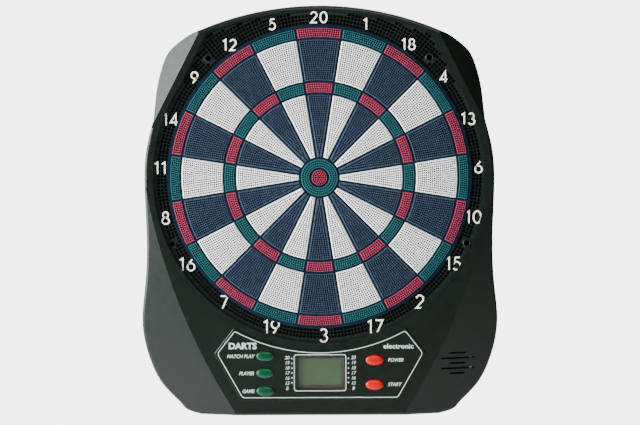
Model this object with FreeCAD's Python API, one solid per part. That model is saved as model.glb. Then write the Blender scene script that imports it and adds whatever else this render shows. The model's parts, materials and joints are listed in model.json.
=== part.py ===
"""Electronic dartboard for soft-tip darts, in millimetres.

The frame's origin is where the bull's axis meets the wall: X to the right of the
player, Y from the player into the wall, Z up.  The player's side faces -Y.
Every separate piece is its own solid in its own STEP file.
"""
import FreeCAD, Part
import math
import os

V = FreeCAD.Vector

# Levels along Y, from the wall at 0 towards the player.
COVER_T = 2.5            # rear cover's plate
PLATEAU_Y = -37.0        # front face of the case around the target
PANEL_Y = -38.0          # front face of the raised control panel
SKIN_T = 2.5             # wall of the moulded case
SKIRT_BACK_Y = -0.3      # rear edge of the case's skirt
CATCH_FRONT_Y = -32.0    # recessed grille that catches stray darts
CATCH_T = 2.5
SPIDER_FRONT_Y = -33.8
SPIDER_BACK_Y = -24.4
SEGMENT_FRONT_Y = -35.4
SEGMENT_TRAVEL = 1.2
GAP = 0.3                # free play kept between moving pieces and their neighbours
LIP_T = 1.8              # flange that keeps a segment behind the spider
MAT_T = 1.5
SHEET_T = 0.25           # one layer of the contact membrane
SHEET_STEP = 0.3
BOARD_T = 3.5            # hardboard behind the target

# The target's rings: centre radii of the spider's webs.
BULL_WEB_R = 11.6
OUTER_BULL_WEB_R = 25.7
TRIPLE_IN_R = 110.3
TRIPLE_OUT_R = 125.8
DOUBLE_IN_R = 182.2
TARGET_R = 196.0         # inside of the spider's outer ring
SPIDER_R = 199.5
WEB_HALF = 1.0           # half the thickness of every web
CELL_GAP = 0.35          # free play between a web and a segment
BEVEL = 0.9
LIP = 0.8
NUMBERS = (20, 1, 18, 4, 13, 6, 10, 15, 2, 17, 3, 19, 7, 16, 8, 11, 14, 9, 12, 5)
SECTOR = 18.0            # degrees of one number

# Case outline, right half: the top arc, then smooth curves down the shoulder and the side.
TOP_ARC = ((-151.0, 195.2), (0.0, 224.7), (151.0, 195.2))
SHOULDER = (
    (151.0, 195.2), (169.5, 186.9), (184.5, 176.6), (197.0, 164.6), (204.0, 150.5),
    (212.8, 115.5), (217.0, 75.6),
)
SHOULDER_TANGENTS = ((1.0, -0.41), (0.12, -1.0))
SIDE = (
    (217.0, 75.6), (226.7, 37.9), (229.75, -5.0), (228.0, -74.4), (231.6, -145.5),
    (236.0, -188.0), (233.6, -216.6), (224.8, -248.2), (207.4, -279.8), (184.5, -303.5),
    (158.0, -316.0),
)
SIDE_TANGENTS = ((0.28, -1.0), (-1.0, -0.2))
SIDE_ROUND_R = 229.9     # radius about the bull of the part rounded by turning
EDGE_ROUND = 4.0         # rounding of the case's outer front edge

# Slopes of the case outside the flat front.
WING_AXIS = (-594.0, 133.2)      # centre of the right-hand lower crease
WING_CREASE_R = 835.0
WING_SLOPE = 15.0                # degrees back from the front plane
LOBE_START = (157.0, 189.0)      # upper crease, a straight line
LOBE_END = (216.6, 73.0)
LOBE_SLOPE = 26.0

# Opening in the front of the case.
OPENING_R = 218.5
OPENING_TOP_INSET = 7.5
OPENING_SIDE_INSET = 9.0
OPENING_CORNER_R = 9.0
OPENING_SPLIT_Z = 99.2   # height where the straight sides run into the circle
RIM_WALL = 2.0
CATCH_OVERLAP = 3.0

# Control panel.
PANEL_ARC_R = 231.7
PANEL_TOP_X = 112.5
PANEL_SIDE = (135.7, -232.4)
PANEL_FOOT = (102.7, -291.4)
PANEL_MARGIN = 3.6
PANEL_CHAMFER = 0.9
WINDOW_Z = -258.3
WINDOW_W = 65.5
WINDOW_H = 45.1
WINDOW_R = 3.0
BUTTON_W = 25.0
BUTTON_H = 14.8
BUTTON_TRAVEL = 1.5
BUTTON_TOP_Y = -41.0
BUTTONS = (
    ("match", -72.4, -236.0),
    ("player", -72.4, -258.9),
    ("game", -72.4, -282.6),
    ("power", 72.4, -241.8),
    ("start", 72.4, -274.5),
)

# Loudspeaker behind the slots of the right-hand wing.
SPEAKER_X = 183.0
SPEAKER_Z = -247.2
SPEAKER_R = 20.0
SPEAKER_FRONT_Y = -20.5
SLOT_PITCH = 6.9
SLOT_H = 2.4
SLOT_SHORT = 21.5
SLOT_LONG = 45.7

# Wall screws: two above, two below the bull's level.
WALL_SCREWS = ((144.3, 156.4), (-144.3, 156.4), (194.1, -87.2), (-194.1, -87.2))
WALL_HOLE_R = 2.6
HEAD_HOLE_R = 3.6
POST_R = 6.0

# Screws that hold the case together.
CASE_SCREWS = (
    (192.0, 140.0), (-192.0, 140.0), (212.0, -130.0), (-212.0, -130.0),
    (207.0, -225.0), (-207.0, -225.0), (168.0, -296.0), (-168.0, -296.0),
    (60.0, -306.0), (-60.0, -306.0),
)
BOSS_R = 4.0
PILOT_R = 1.5
SHANK_R = 1.45
BOARD_SCREW_R = 209.0
BOARD_SCREWS = 10

# Battery bay in the rear cover, for three AA cells lying across.
BAY_X = -155.0
BAY_Z = -248.0
BAY_W = 58.4
BAY_H = 46.0
BAY_FRONT_Y = -19.5
BAY_WALL = 1.6
CELL_R = 7.1
CELL_LEN = 49.5
NUB_R = 2.75
NUB_LEN = 1.0
CELL_PITCH = 15.0
CELL_Y = -10.2
DOOR_T = 2.2
HINGE_R = 0.5            # rounding of the door's lower edge, which it turns on
TONGUE_X = 16.0          # tongues that hook behind the rear cover
TONGUE_HALF_W = 4.0
LATCH_HALF_W = 6.0

# Circuit board behind the panel.
PCB_FRONT_Y = -27.0
PCB_T = 1.6
PCB_HALF_W = 99.0
PCB_TOP_Z = -228.0
PCB_FOOT_Z = -297.0
PCB_POSTS = ((93.5, -240.0), (-93.5, -240.0), (93.5, -290.0), (-93.5, -290.0))

os.makedirs("parts", exist_ok=True)


def save(shape, node):
    """Write one piece to its STEP file."""
    shape.exportStep("parts/" + node + ".step")


def point(x, z, y=0.0):
    """A point given across and up, at a depth."""
    return V(x, y, z)


def line(a, b):
    """Straight edge between two (x, z) points."""
    return Part.makeLine(point(*a), point(*b))


def arc(a, mid, b):
    """Circular edge through three (x, z) points."""
    return Part.Arc(point(*a), point(*mid), point(*b)).toShape()


def face_of(edges):
    """Flat face inside a closed run of edges."""
    return Part.Face(Part.Wire(Part.__sortEdges__(edges)))


def prism(face, y0, y1):
    """Solid with the face's outline between two levels."""
    solid = face.extrude(V(0, y1 - y0, 0))
    solid.translate(V(0, y0, 0))
    return solid


def disc(x, z, radius, y0, y1):
    """Round bar along Y."""
    return Part.makeCylinder(radius, y1 - y0, V(x, y0, z), V(0, 1, 0))


def tube(x, z, outer, inner, y0, y1):
    """Round tube along Y."""
    return disc(x, z, outer, y0, y1).cut(disc(x, z, inner, y0 - 1, y1 + 1))


def block(x0, x1, y0, y1, z0, z1):
    """Box between two corners."""
    return Part.makeBox(x1 - x0, y1 - y0, z1 - z0, V(x0, y0, z0))


def rounded_face(x, z, width, height, radius):
    """Rectangle with round corners about a centre."""
    hx = width / 2 - radius
    hz = height / 2 - radius
    lean = radius * math.sqrt(0.5)
    edges = []
    for sx, sz in ((1, 1), (1, -1), (-1, -1), (-1, 1)):
        side = (x + sx * (hx + radius), z + sz * hz)
        middle = (x + sx * (hx + lean), z + sz * (hz + lean))
        end = (x + sx * hx, z + sz * (hz + radius))
        edges.append(arc(side, middle, end))
    edges.append(line((x - hx, z + hz + radius), (x + hx, z + hz + radius)))
    edges.append(line((x - hx, z - hz - radius), (x + hx, z - hz - radius)))
    edges.append(line((x + hx + radius, z - hz), (x + hx + radius, z + hz)))
    edges.append(line((x - hx - radius, z - hz), (x - hx - radius, z + hz)))
    return face_of(edges)


def oval_face(x, z, width, height):
    """Ellipse, longer across."""
    curve = Part.Ellipse(point(x + width / 2, z), point(x, z + height / 2), point(x, z))
    return Part.Face(Part.Wire(curve.toShape()))


def mirrored(shape):
    """The same shape on the other side of the board."""
    return shape.mirror(V(0, 0, 0), V(1, 0, 0))


def grown(face, distance):
    """Face with its outline moved outwards, or inwards when negative."""
    return face.makeOffset2D(distance)


def smooth(points, tangents):
    """Smooth curve through (x, z) points with the given end directions."""
    curve = Part.BSplineCurve()
    curve.interpolate(
        [point(x, z) for x, z in points],
        InitialTangent=point(*tangents[0]), FinalTangent=point(*tangents[1]))
    return curve


def moved_in(points, tangents, inset):
    """The points of a right-hand edge of the outline, moved into the case."""
    curve = smooth(points, tangents)
    moved = []
    for x, z in points:
        along = curve.tangent(curve.parameter(point(x, z)))[0]
        moved.append((x + along.z * inset, z - along.x * inset))
    return moved


def case_face(inset=0.0):
    """Front outline of the whole case, or one a distance inside it."""
    shoulder = moved_in(SHOULDER, SHOULDER_TANGENTS, inset)
    side = moved_in(SIDE, SIDE_TANGENTS, inset)
    waist = ((shoulder[-1][0] + side[0][0]) / 2, (shoulder[-1][1] + side[0][1]) / 2)
    shoulder[-1] = waist
    side[0] = waist
    side[-1] = (side[-1][0], SIDE[-1][1] + inset)
    crown = (0.0, TOP_ARC[1][1] - inset)
    start = shoulder[0]
    right = [smooth(shoulder, SHOULDER_TANGENTS).toShape(), smooth(side, SIDE_TANGENTS).toShape()]
    edges = [arc((-start[0], start[1]), crown, start)]
    for edge in right:
        edges.append(edge)
        edges.append(mirrored(edge))
    edges.append(line((-side[-1][0], side[-1][1]), side[-1]))
    return face_of(edges)


def opening_face():
    """Hole in the case's front: a circle, squared off towards the upper corners."""
    along = V(LOBE_END[0] - LOBE_START[0], 0, LOBE_END[1] - LOBE_START[1]).normalize()
    outward = V(-along.z, 0, along.x)
    crease = point(*LOBE_START) - outward * OPENING_SIDE_INSET
    top_centre_z = 224.7 - 401.0
    top_radius = 401.0 - OPENING_TOP_INSET
    span = 150.0
    height = math.sqrt(top_radius ** 2 - span ** 2)
    lid = face_of([
        arc((-span, top_centre_z + height), (0, top_centre_z + top_radius), (span, top_centre_z + height)),
        line((span, top_centre_z + height), (span, 0)),
        line((span, 0), (-span, 0)),
        line((-span, 0), (-span, top_centre_z + height)),
    ])
    wide = disc(0, top_centre_z, top_radius, -1, 1)
    right = crease + along * 260
    left_top = crease - along * 60
    side = face_of([
        line((left_top.x, left_top.z), (right.x, right.z)),
        line((right.x, right.z), (-right.x, right.z)),
        line((-right.x, right.z), (-left_top.x, left_top.z)),
        line((-left_top.x, left_top.z), (left_top.x, left_top.z)),
    ])
    upper = prism(side, -1, 1).common(wide).common(block(-300, 300, -1, 1, OPENING_SPLIT_Z, 300))
    corners = [e for e in upper.Edges if abs(e.Length - 2.0) < 0.01 and e.Vertexes[0].Z > 150]
    upper = upper.makeFillet(OPENING_CORNER_R, corners)
    whole = upper.fuse(disc(0, 0, OPENING_R, -1, 1)).removeSplitter()
    back = [f for f in whole.Faces if abs(f.CenterOfMass.y - 1.0) < 1e-6][0]
    flat = Part.Face(back.OuterWire)
    flat.translate(V(0, -1, 0))
    return flat


def wing_cut(depth):
    """What the slope of the right-hand lower wing takes off the front, set back by a depth."""
    reach = 100.0
    drop = math.tan(math.radians(WING_SLOPE))
    crease_y = PLATEAU_Y + depth
    low = WING_CREASE_R - reach
    keep = Part.makeCone(
        low, WING_CREASE_R + reach, 2 * reach * drop,
        V(WING_AXIS[0], crease_y - reach * drop, WING_AXIS[1]), V(0, 1, 0))
    stock = block(60, 260, crease_y - reach * drop + 1, crease_y + reach * drop - 1, -330, 60)
    stock = stock.cut(keep)
    inner = disc(WING_AXIS[0], WING_AXIS[1], WING_CREASE_R, crease_y - 50, crease_y + 50)
    return stock.cut(inner)


def lobe_cut(depth):
    """What the slope of the right-hand upper lobe takes off the front, set back by a depth."""
    along = V(LOBE_END[0] - LOBE_START[0], 0, LOBE_END[1] - LOBE_START[1]).normalize()
    outward = V(-along.z, 0, along.x)
    y = PLATEAU_Y + depth
    start = point(LOBE_START[0], LOBE_START[1], y) - along * 40
    far = start + outward * 80 + V(0, 80 * math.tan(math.radians(LOBE_SLOPE)), 0)
    front = start + outward * 80 + V(0, -20, 0)
    near = start + V(0, -20, 0)
    wedge = Part.Face(Part.makePolygon([start, far, front, near, start]))
    return wedge.extrude(along * 200)


def panel_line_face():
    """The printed outline of the control panel."""
    top_z = -math.sqrt(PANEL_ARC_R ** 2 - PANEL_TOP_X ** 2)
    return face_of([
        arc((-PANEL_TOP_X, top_z), (0, -PANEL_ARC_R), (PANEL_TOP_X, top_z)),
        line((PANEL_TOP_X, top_z), PANEL_SIDE),
        line(PANEL_SIDE, PANEL_FOOT),
        line(PANEL_FOOT, (-PANEL_FOOT[0], PANEL_FOOT[1])),
        line((-PANEL_FOOT[0], PANEL_FOOT[1]), (-PANEL_SIDE[0], PANEL_SIDE[1])),
        line((-PANEL_SIDE[0], PANEL_SIDE[1]), (-PANEL_TOP_X, top_z)),
    ])


def front_edges(solid, outline):
    """The edges where the case's side wall meets its front."""
    wall = outline.OuterWire
    found = []
    for edge in solid.Edges:
        span = edge.LastParameter - edge.FirstParameter
        samples = [edge.valueAt(edge.FirstParameter + span * t) for t in (0.1, 0.5, 0.9)]
        if max(p.y for p in samples) > -8:
            continue
        if max(p.y for p in samples) - min(p.y for p in samples) > 0.9 * edge.Length:
            continue
        flat = [Part.Vertex(p.x, 0, p.z) for p in samples]
        if max(wall.distToShape(v)[0] for v in flat) < 0.01:
            found.append(edge)
    return found


def wing_or_top(edge):
    """True for the front edges of the top, the lower wings and the foot."""
    middle = edge.CenterOfMass
    return middle.z > 190 or middle.z < -100


def side_rounding():
    """Ring that rounds the case's front edge beside the target."""
    x = SIDE_ROUND_R - EDGE_ROUND
    y = PLATEAU_Y
    lean = EDGE_ROUND * math.sqrt(0.5)
    profile = Part.Face(Part.Wire([
        Part.Arc(V(x, y, 0), V(x + lean, y + EDGE_ROUND - lean, 0),
                 V(x + EDGE_ROUND, y + EDGE_ROUND, 0)).toShape(),
        Part.makeLine(V(x + EDGE_ROUND, y + EDGE_ROUND, 0), V(x + 9, y + EDGE_ROUND, 0)),
        Part.makeLine(V(x + 9, y + EDGE_ROUND, 0), V(x + 9, y - 2, 0)),
        Part.makeLine(V(x + 9, y - 2, 0), V(x, y - 2, 0)),
        Part.makeLine(V(x, y - 2, 0), V(x, y, 0)),
    ]))
    ring = profile.revolve(V(0, 0, 0), V(0, 1, 0), 360)
    return ring.common(block(-300, 300, -60, 0, -12, 66))


def front_housing():
    """Moulded front of the case with its panel, bosses and speaker collar."""
    outline = case_face()
    body = prism(outline, PLATEAU_Y, SKIRT_BACK_Y)
    for cutter in (wing_cut(0), lobe_cut(0)):
        body = body.cut(cutter).cut(mirrored(cutter))
    edges = front_edges(body, outline)
    body = body.makeFillet(EDGE_ROUND, [e for e in edges if wing_or_top(e)])
    body = body.cut(side_rounding())
    hollow = prism(case_face(SKIN_T), PLATEAU_Y + SKIN_T, SKIRT_BACK_Y + 1)
    for cutter in (wing_cut(SKIN_T), lobe_cut(SKIN_T)):
        hollow = hollow.cut(cutter).cut(mirrored(cutter))
    panel = prism(grown(panel_line_face(), PANEL_MARGIN), PANEL_Y, PLATEAU_Y + 1)
    front = [e for e in panel.Edges if max(v.Y for v in e.Vertexes) < PANEL_Y + 0.01]
    panel = panel.makeChamfer(PANEL_CHAMFER, front)
    body = body.fuse(panel).cut(hollow)
    opening = opening_face()
    rim = prism(grown(opening, RIM_WALL), PLATEAU_Y + 1, CATCH_FRONT_Y - 0.1)
    body = body.fuse(rim).cut(prism(opening, PLATEAU_Y - 5, 0))
    for x, z in CASE_SCREWS:
        boss = disc(x, z, BOSS_R, PLATEAU_Y, -5.8)
        body = body.fuse(boss.common(hollow))
        body = body.cut(disc(x, z, PILOT_R, -20, -5))
    for x, z in PCB_POSTS:
        body = body.fuse(disc(x, z, 3.0, PLATEAU_Y + SKIN_T - 0.5, PCB_FRONT_Y - 0.1))
        body = body.cut(disc(x, z, 1.25, PCB_FRONT_Y - 6, PCB_FRONT_Y + 1))
    collar = tube(SPEAKER_X, SPEAKER_Z, SPEAKER_R + 1.8, SPEAKER_R + 0.3, PLATEAU_Y, -14)
    body = body.fuse(collar.common(hollow))
    for row in range(5):
        length = SLOT_LONG if row % 2 else SLOT_SHORT
        z = SPEAKER_Z + (2 - row) * SLOT_PITCH
        slot = rounded_face(SPEAKER_X, z, length, SLOT_H, SLOT_H / 2 - 0.05)
        body = body.cut(prism(slot, PLATEAU_Y - 3, SPEAKER_FRONT_Y - 0.3))
    window = rounded_face(0, WINDOW_Z, WINDOW_W, WINDOW_H, WINDOW_R)
    body = body.cut(prism(window, PANEL_Y - 1, PLATEAU_Y + SKIN_T + 1))
    for name, x, z in BUTTONS:
        hole = oval_face(x, z, BUTTON_W, BUTTON_H)
        body = body.cut(prism(hole, PANEL_Y - 1, PLATEAU_Y + SKIN_T + 1))
    return body.removeSplitter()


def bay_box(margin, y0, y1):
    """Space of the battery bay, with a margin all round."""
    return block(
        BAY_X - BAY_W / 2 - margin, BAY_X + BAY_W / 2 + margin, y0, y1,
        BAY_Z - BAY_H / 2 - margin, BAY_Z + BAY_H / 2 + margin)


def rear_cover():
    """Back of the case: plate, stiffening rim, screw cups, wall posts, battery bay."""
    inset = SKIN_T + 0.2
    body = prism(case_face(inset), -COVER_T, 0)
    lip = prism(case_face(inset + 0.4), -COVER_T - 4, -COVER_T + 0.5)
    lip = lip.cut(prism(case_face(inset + 2.0), -20, 0))
    for x, z in CASE_SCREWS:
        lip = lip.cut(disc(x, z, BOSS_R + 0.5, -20, -COVER_T))
    body = body.fuse(lip)
    for radius in (70.0, 120.0, 170.0):
        body = body.fuse(tube(0, 0, radius + 1, radius - 1, -COVER_T - 4, -COVER_T + 0.5))
        body = body.cut(tube(0, 0, radius + 0.6, radius - 0.6, -0.5, 1))
    for x, z in CASE_SCREWS:
        body = body.fuse(disc(x, z, 5.2, -5.5, -COVER_T + 0.5))
        body = body.cut(disc(x, z, 3.7, -3.5, 1))
        body = body.cut(disc(x, z, 1.7, -6, 1))
    for x, z in WALL_SCREWS:
        body = body.fuse(disc(x, z, POST_R, CATCH_FRONT_Y + CATCH_T + 0.2, -COVER_T + 0.5))
        body = body.cut(disc(x, z, HEAD_HOLE_R, CATCH_FRONT_Y, -16))
        body = body.cut(disc(x, z, WALL_HOLE_R, -20, 1))
    bay = bay_box(BAY_WALL, BAY_FRONT_Y, -COVER_T + 0.5)
    body = body.fuse(bay).cut(bay_box(0, BAY_FRONT_Y + BAY_WALL, 1))
    foot = BAY_Z - BAY_H / 2
    for side in (-1, 1):
        x = BAY_X + side * TONGUE_X
        reach = TONGUE_HALF_W + 0.4
        body = body.cut(block(x - reach, x + reach, -5.8, -COVER_T, foot - 3.2, foot + 1))
    for side in (-1, 1):
        z = BAY_Z + side * CELL_PITCH / 2
        rib = block(BAY_X - 20, BAY_X + 20, BAY_FRONT_Y + 1, CELL_Y - 5.6, z - 0.4, z + 0.4)
        body = body.fuse(rib)
    return body.removeSplitter()


def battery_door():
    """Cover of the battery bay with two tongues below and a latch finger above."""
    foot = BAY_Z - BAY_H / 2
    head = BAY_Z + BAY_H / 2
    body = bay_box(-GAP, -DOOR_T, 0)
    turning = [e for e in body.Edges if all(v.Y > -0.01 and v.Z < foot + GAP + 0.01 for v in e.Vertexes)]
    body = body.makeFillet(HINGE_R, turning)
    for side in (-1, 1):
        left = BAY_X + side * TONGUE_X - TONGUE_HALF_W
        right = BAY_X + side * TONGUE_X + TONGUE_HALF_W
        body = body.fuse(block(left, right, -4.2, -DOOR_T + 0.5, foot + 0.3, foot + 2.5))
        body = body.fuse(block(left, right, -4.2, -2.8, foot - 2.4, foot + 1))
    body = body.fuse(block(
        BAY_X - LATCH_HALF_W, BAY_X + LATCH_HALF_W, -5.0, -DOOR_T + 0.5, head - 2.4, head - 1.0))
    for step in range(4):
        z = head - 8 - 2.4 * step
        body = body.cut(block(BAY_X - 9, BAY_X + 9, -0.6, 1, z - 0.6, z + 0.6))
    return body.removeSplitter()


def catch_ring():
    """Recessed frame round the target that carries the numbers."""
    body = prism(grown(opening_face(), CATCH_OVERLAP), CATCH_FRONT_Y, CATCH_FRONT_Y + CATCH_T)
    body = body.cut(disc(0, 0, SPIDER_R + 0.2, -50, 0))
    for i in range(BOARD_SCREWS):
        angle = math.radians(90 + 18 + 36 * i)
        x = BOARD_SCREW_R * math.cos(angle)
        z = BOARD_SCREW_R * math.sin(angle)
        body = body.fuse(disc(x, z, BOSS_R, CATCH_FRONT_Y + CATCH_T - 0.5, board_front() - 0.2))
        body = body.cut(disc(x, z, PILOT_R, board_front() - 8, board_front() + 1))
    for x, z in WALL_SCREWS:
        body = body.cut(disc(x, z, HEAD_HOLE_R, -50, 0))
    return body.removeSplitter()


def segment_back():
    """Level of a segment's rear face at rest."""
    return SPIDER_BACK_Y + GAP + LIP_T


def mat_front():
    """Level of the rubber mat's front face."""
    return segment_back() + SEGMENT_TRAVEL + GAP


def board_front():
    """Level of the hardboard's front face."""
    return mat_front() + MAT_T + 0.05 + 3 * SHEET_STEP + 0.05


def cell_face(inner, outer, margin):
    """Cell of the upright number between two radii, its sides a margin from the borders."""
    half = math.radians(SECTOR / 2)

    def corner(radius, side):
        reach = math.sqrt(radius ** 2 - margin ** 2)
        x = side * (reach * math.sin(half) - margin * math.cos(half))
        z = reach * math.cos(half) + margin * math.sin(half)
        return (x, z)

    return face_of([
        arc(corner(inner, -1), (0, inner), corner(inner, 1)),
        line(corner(inner, 1), corner(outer, 1)),
        arc(corner(outer, 1), (0, outer), corner(outer, -1)),
        line(corner(outer, -1), corner(inner, -1)),
    ])


RINGS = (
    (OUTER_BULL_WEB_R + WEB_HALF, TRIPLE_IN_R - WEB_HALF),
    (TRIPLE_IN_R + WEB_HALF, TRIPLE_OUT_R - WEB_HALF),
    (TRIPLE_OUT_R + WEB_HALF, DOUBLE_IN_R - WEB_HALF),
    (DOUBLE_IN_R + WEB_HALF, TARGET_R),
)


def chamfered(body):
    """Body with its front edges bevelled."""
    front = [e for e in body.Edges
             if max(abs(v.Y - SEGMENT_FRONT_Y) for v in e.Vertexes) < 0.01]
    return body.makeChamfer(BEVEL, front)


def number_segments():
    """The four segments of the upright number, inner single to double."""
    solids = []
    side = WEB_HALF + CELL_GAP
    for inner, outer in RINGS:
        face = cell_face(inner + CELL_GAP, outer - CELL_GAP, side)
        body = chamfered(prism(face, SEGMENT_FRONT_Y, SPIDER_BACK_Y + GAP + 0.5))
        outer_lip = outer - CELL_GAP + LIP
        if outer == TARGET_R:
            outer_lip = outer - CELL_GAP
        flange = cell_face(inner + CELL_GAP - LIP, outer_lip, side - LIP)
        body = body.fuse(prism(flange, SPIDER_BACK_Y + GAP, segment_back()))
        solids.append(body.removeSplitter())
    return solids


def outer_bull():
    """Ring segment round the bull, slotted at the back for the spider's ribs."""
    outer = OUTER_BULL_WEB_R - WEB_HALF - CELL_GAP
    inner = BULL_WEB_R + WEB_HALF + CELL_GAP
    body = chamfered(tube(0, 0, outer, inner, SEGMENT_FRONT_Y, segment_back()))
    body = body.fuse(tube(0, 0, outer + LIP, inner, SPIDER_BACK_Y + GAP, segment_back()))
    for turn in (45, 135):
        slot = block(-40, 40, RIB_FRONT_Y - GAP - SEGMENT_TRAVEL, 0, -1.2, 1.2)
        slot.rotate(V(0, 0, 0), V(0, 1, 0), turn)
        body = body.cut(slot)
    return body.removeSplitter()


def inner_bull():
    """Round middle segment."""
    radius = BULL_WEB_R - WEB_HALF - CELL_GAP
    body = chamfered(disc(0, 0, radius, SEGMENT_FRONT_Y, segment_back()))
    body = body.fuse(disc(0, 0, radius + LIP, SPIDER_BACK_Y + GAP, segment_back()))
    return body.removeSplitter()


RIB_FRONT_Y = -27.5      # ribs that carry the bull's web ring


def spider():
    """Web frame that holds the segments, with its outer ring and flange."""
    body = disc(0, 0, SPIDER_R, SPIDER_FRONT_Y, board_front() - 0.2)
    body = body.cut(disc(0, 0, TARGET_R, SPIDER_BACK_Y, 0))
    cells = []
    for i in range(len(NUMBERS)):
        for inner, outer in RINGS:
            cell = prism(cell_face(inner, outer, WEB_HALF), -50, 0)
            cell.rotate(V(0, 0, 0), V(0, 1, 0), SECTOR * i)
            cells.append(cell)
    cells.append(tube(0, 0, OUTER_BULL_WEB_R - WEB_HALF, BULL_WEB_R + WEB_HALF, -50, 0))
    cells.append(disc(0, 0, BULL_WEB_R - WEB_HALF, -50, 0))
    body = body.cut(Part.makeCompound(cells))
    for turn in (45, 135):
        rib = block(-OUTER_BULL_WEB_R, OUTER_BULL_WEB_R, RIB_FRONT_Y, SPIDER_BACK_Y, -0.8, 0.8)
        rib.rotate(V(0, 0, 0), V(0, 1, 0), turn)
        rib = rib.cut(disc(0, 0, BULL_WEB_R - WEB_HALF, -50, 0))
        body = body.fuse(rib)
    flange_front = CATCH_FRONT_Y + CATCH_T + 0.2
    body = body.fuse(tube(0, 0, 204.5, TARGET_R, flange_front, flange_front + 2.3))
    body = body.cut(block(-24, 24, mat_front() + 0.5, 0, -205, -190))
    return body.removeSplitter()


def membrane(level):
    """One layer of the contact membrane, counted from the front."""
    y = mat_front() + MAT_T + 0.05 + SHEET_STEP * level
    return disc(0, 0, TARGET_R - 0.8, y, y + SHEET_T)


def membrane_tail():
    """Flat tail from the membrane down to the circuit board, curved through the step."""
    top_y = mat_front() + MAT_T + 0.05 + SHEET_STEP
    back_y = PCB_FRONT_Y + PCB_T + 0.1
    bend = 12.0
    angle = math.acos(1 - (top_y - back_y) / (2 * bend))
    start = -TARGET_R + 0.5
    z1 = -206.0
    z2 = z1 - bend * math.sin(angle)
    z3 = z2 - bend * math.sin(angle)
    end = -238.0
    half = angle / 2

    def sheet_side(shift):
        """Edges of one face of the sheet, moved back by its thickness."""
        mid_y = (top_y + back_y) / 2
        first = Part.Arc(
            V(0, top_y + shift, z1),
            V(0, top_y - bend + (bend + shift) * math.cos(half), z1 - (bend + shift) * math.sin(half)),
            V(0, mid_y + shift * math.cos(angle), z2 - shift * math.sin(angle)))
        second = Part.Arc(
            V(0, mid_y + shift * math.cos(angle), z2 - shift * math.sin(angle)),
            V(0, back_y + bend - (bend - shift) * math.cos(half), z3 + (bend - shift) * math.sin(half)),
            V(0, back_y + shift, z3))
        return [
            Part.makeLine(V(0, top_y + shift, start), V(0, top_y + shift, z1)),
            first.toShape(), second.toShape(),
            Part.makeLine(V(0, back_y + shift, z3), V(0, back_y + shift, end)),
        ]

    edges = sheet_side(0) + sheet_side(SHEET_T)
    edges.append(Part.makeLine(V(0, top_y, start), V(0, top_y + SHEET_T, start)))
    edges.append(Part.makeLine(V(0, back_y, end), V(0, back_y + SHEET_T, end)))
    solid = face_of(edges).extrude(V(44, 0, 0))
    solid.translate(V(-22, 0, 0))
    return solid


def backing_board():
    """Hardboard disc behind the membrane."""
    body = disc(0, 0, 216.0, board_front(), board_front() + BOARD_T)
    for i in range(BOARD_SCREWS):
        angle = math.radians(90 + 18 + 36 * i)
        x = BOARD_SCREW_R * math.cos(angle)
        z = BOARD_SCREW_R * math.sin(angle)
        body = body.cut(disc(x, z, 1.8, -50, 0))
    for x, z in WALL_SCREWS:
        body = body.cut(disc(x, z, POST_R + 0.6, -50, 0))
    return body


def screw(x, z, head_y, length, head_r=3.2, head_t=2.1, shank_r=SHANK_R):
    """Pan-head screw whose head's underside is at a level, shank towards the player."""
    head = disc(x, z, head_r, head_y, head_y + head_t)
    rim = [e for e in head.Edges if abs(e.CenterOfMass.y - head_y - head_t) < 0.01
           and e.Length > 5]
    head = head.makeFillet(0.8, rim)
    shank = disc(x, z, shank_r, head_y - length, head_y + 0.1)
    tip = [e for e in shank.Edges if abs(e.CenterOfMass.y - head_y + length) < 0.01]
    body = head.fuse(shank.makeChamfer(0.6, tip))
    for turn in (0, 90):
        recess = block(-1.6, 1.6, head_y + head_t - 1.0, head_y + head_t + 1, -0.35, 0.35)
        recess.rotate(V(0, 0, 0), V(0, 1, 0), turn)
        recess.translate(V(x, 0, z))
        body = body.cut(recess)
    return body.removeSplitter()


def button(x, z):
    """Oval push button with a domed top and a flange behind the panel."""
    width = BUTTON_W - 2 * CELL_GAP
    height = BUTTON_H - 2 * CELL_GAP
    flange_y = PLATEAU_Y + SKIN_T + GAP
    body = prism(oval_face(x, z, width, height), BUTTON_TOP_Y, flange_y + 0.5)
    top = [e for e in body.Edges if abs(e.CenterOfMass.y - BUTTON_TOP_Y) < 0.01]
    body = body.makeFillet(2.6, top)
    body = body.fuse(prism(oval_face(x, z, width + 2.4, height + 2.4), flange_y, flange_y + 1.6))
    return body.removeSplitter()


def keypad_mat(side):
    """Silicone sheet with a dome under each button of one side."""
    mine = [b for b in BUTTONS if b[1] * side > 0]
    top = max(b[2] for b in mine) + 7.5
    foot = min(b[2] for b in mine) - 7.5
    middle = mine[0][1]
    body = block(middle - 13, middle + 13, PCB_FRONT_Y - 0.7, PCB_FRONT_Y - 0.1, foot, top)
    dome_y = PLATEAU_Y + SKIN_T + GAP + 1.6 + BUTTON_TRAVEL + GAP
    for name, x, z in mine:
        dome = Part.makeCone(5.6, 3.6, PCB_FRONT_Y - 0.4 - dome_y, V(x, PCB_FRONT_Y - 0.4, z),
                             V(0, -1, 0))
        core = Part.makeCone(4.6, 2.4, PCB_FRONT_Y - 0.8 - dome_y - 0.8,
                             V(x, PCB_FRONT_Y - 0.1, z), V(0, -1, 0))
        body = body.fuse(dome).cut(core)
    return body.removeSplitter()


def main_pcb():
    """Circuit board with its screw holes."""
    body = block(-PCB_HALF_W, PCB_HALF_W, PCB_FRONT_Y, PCB_FRONT_Y + PCB_T, PCB_FOOT_Z, PCB_TOP_Z)
    for x, z in PCB_POSTS:
        body = body.cut(disc(x, z, 1.6, -50, 0))
    return body


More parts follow.
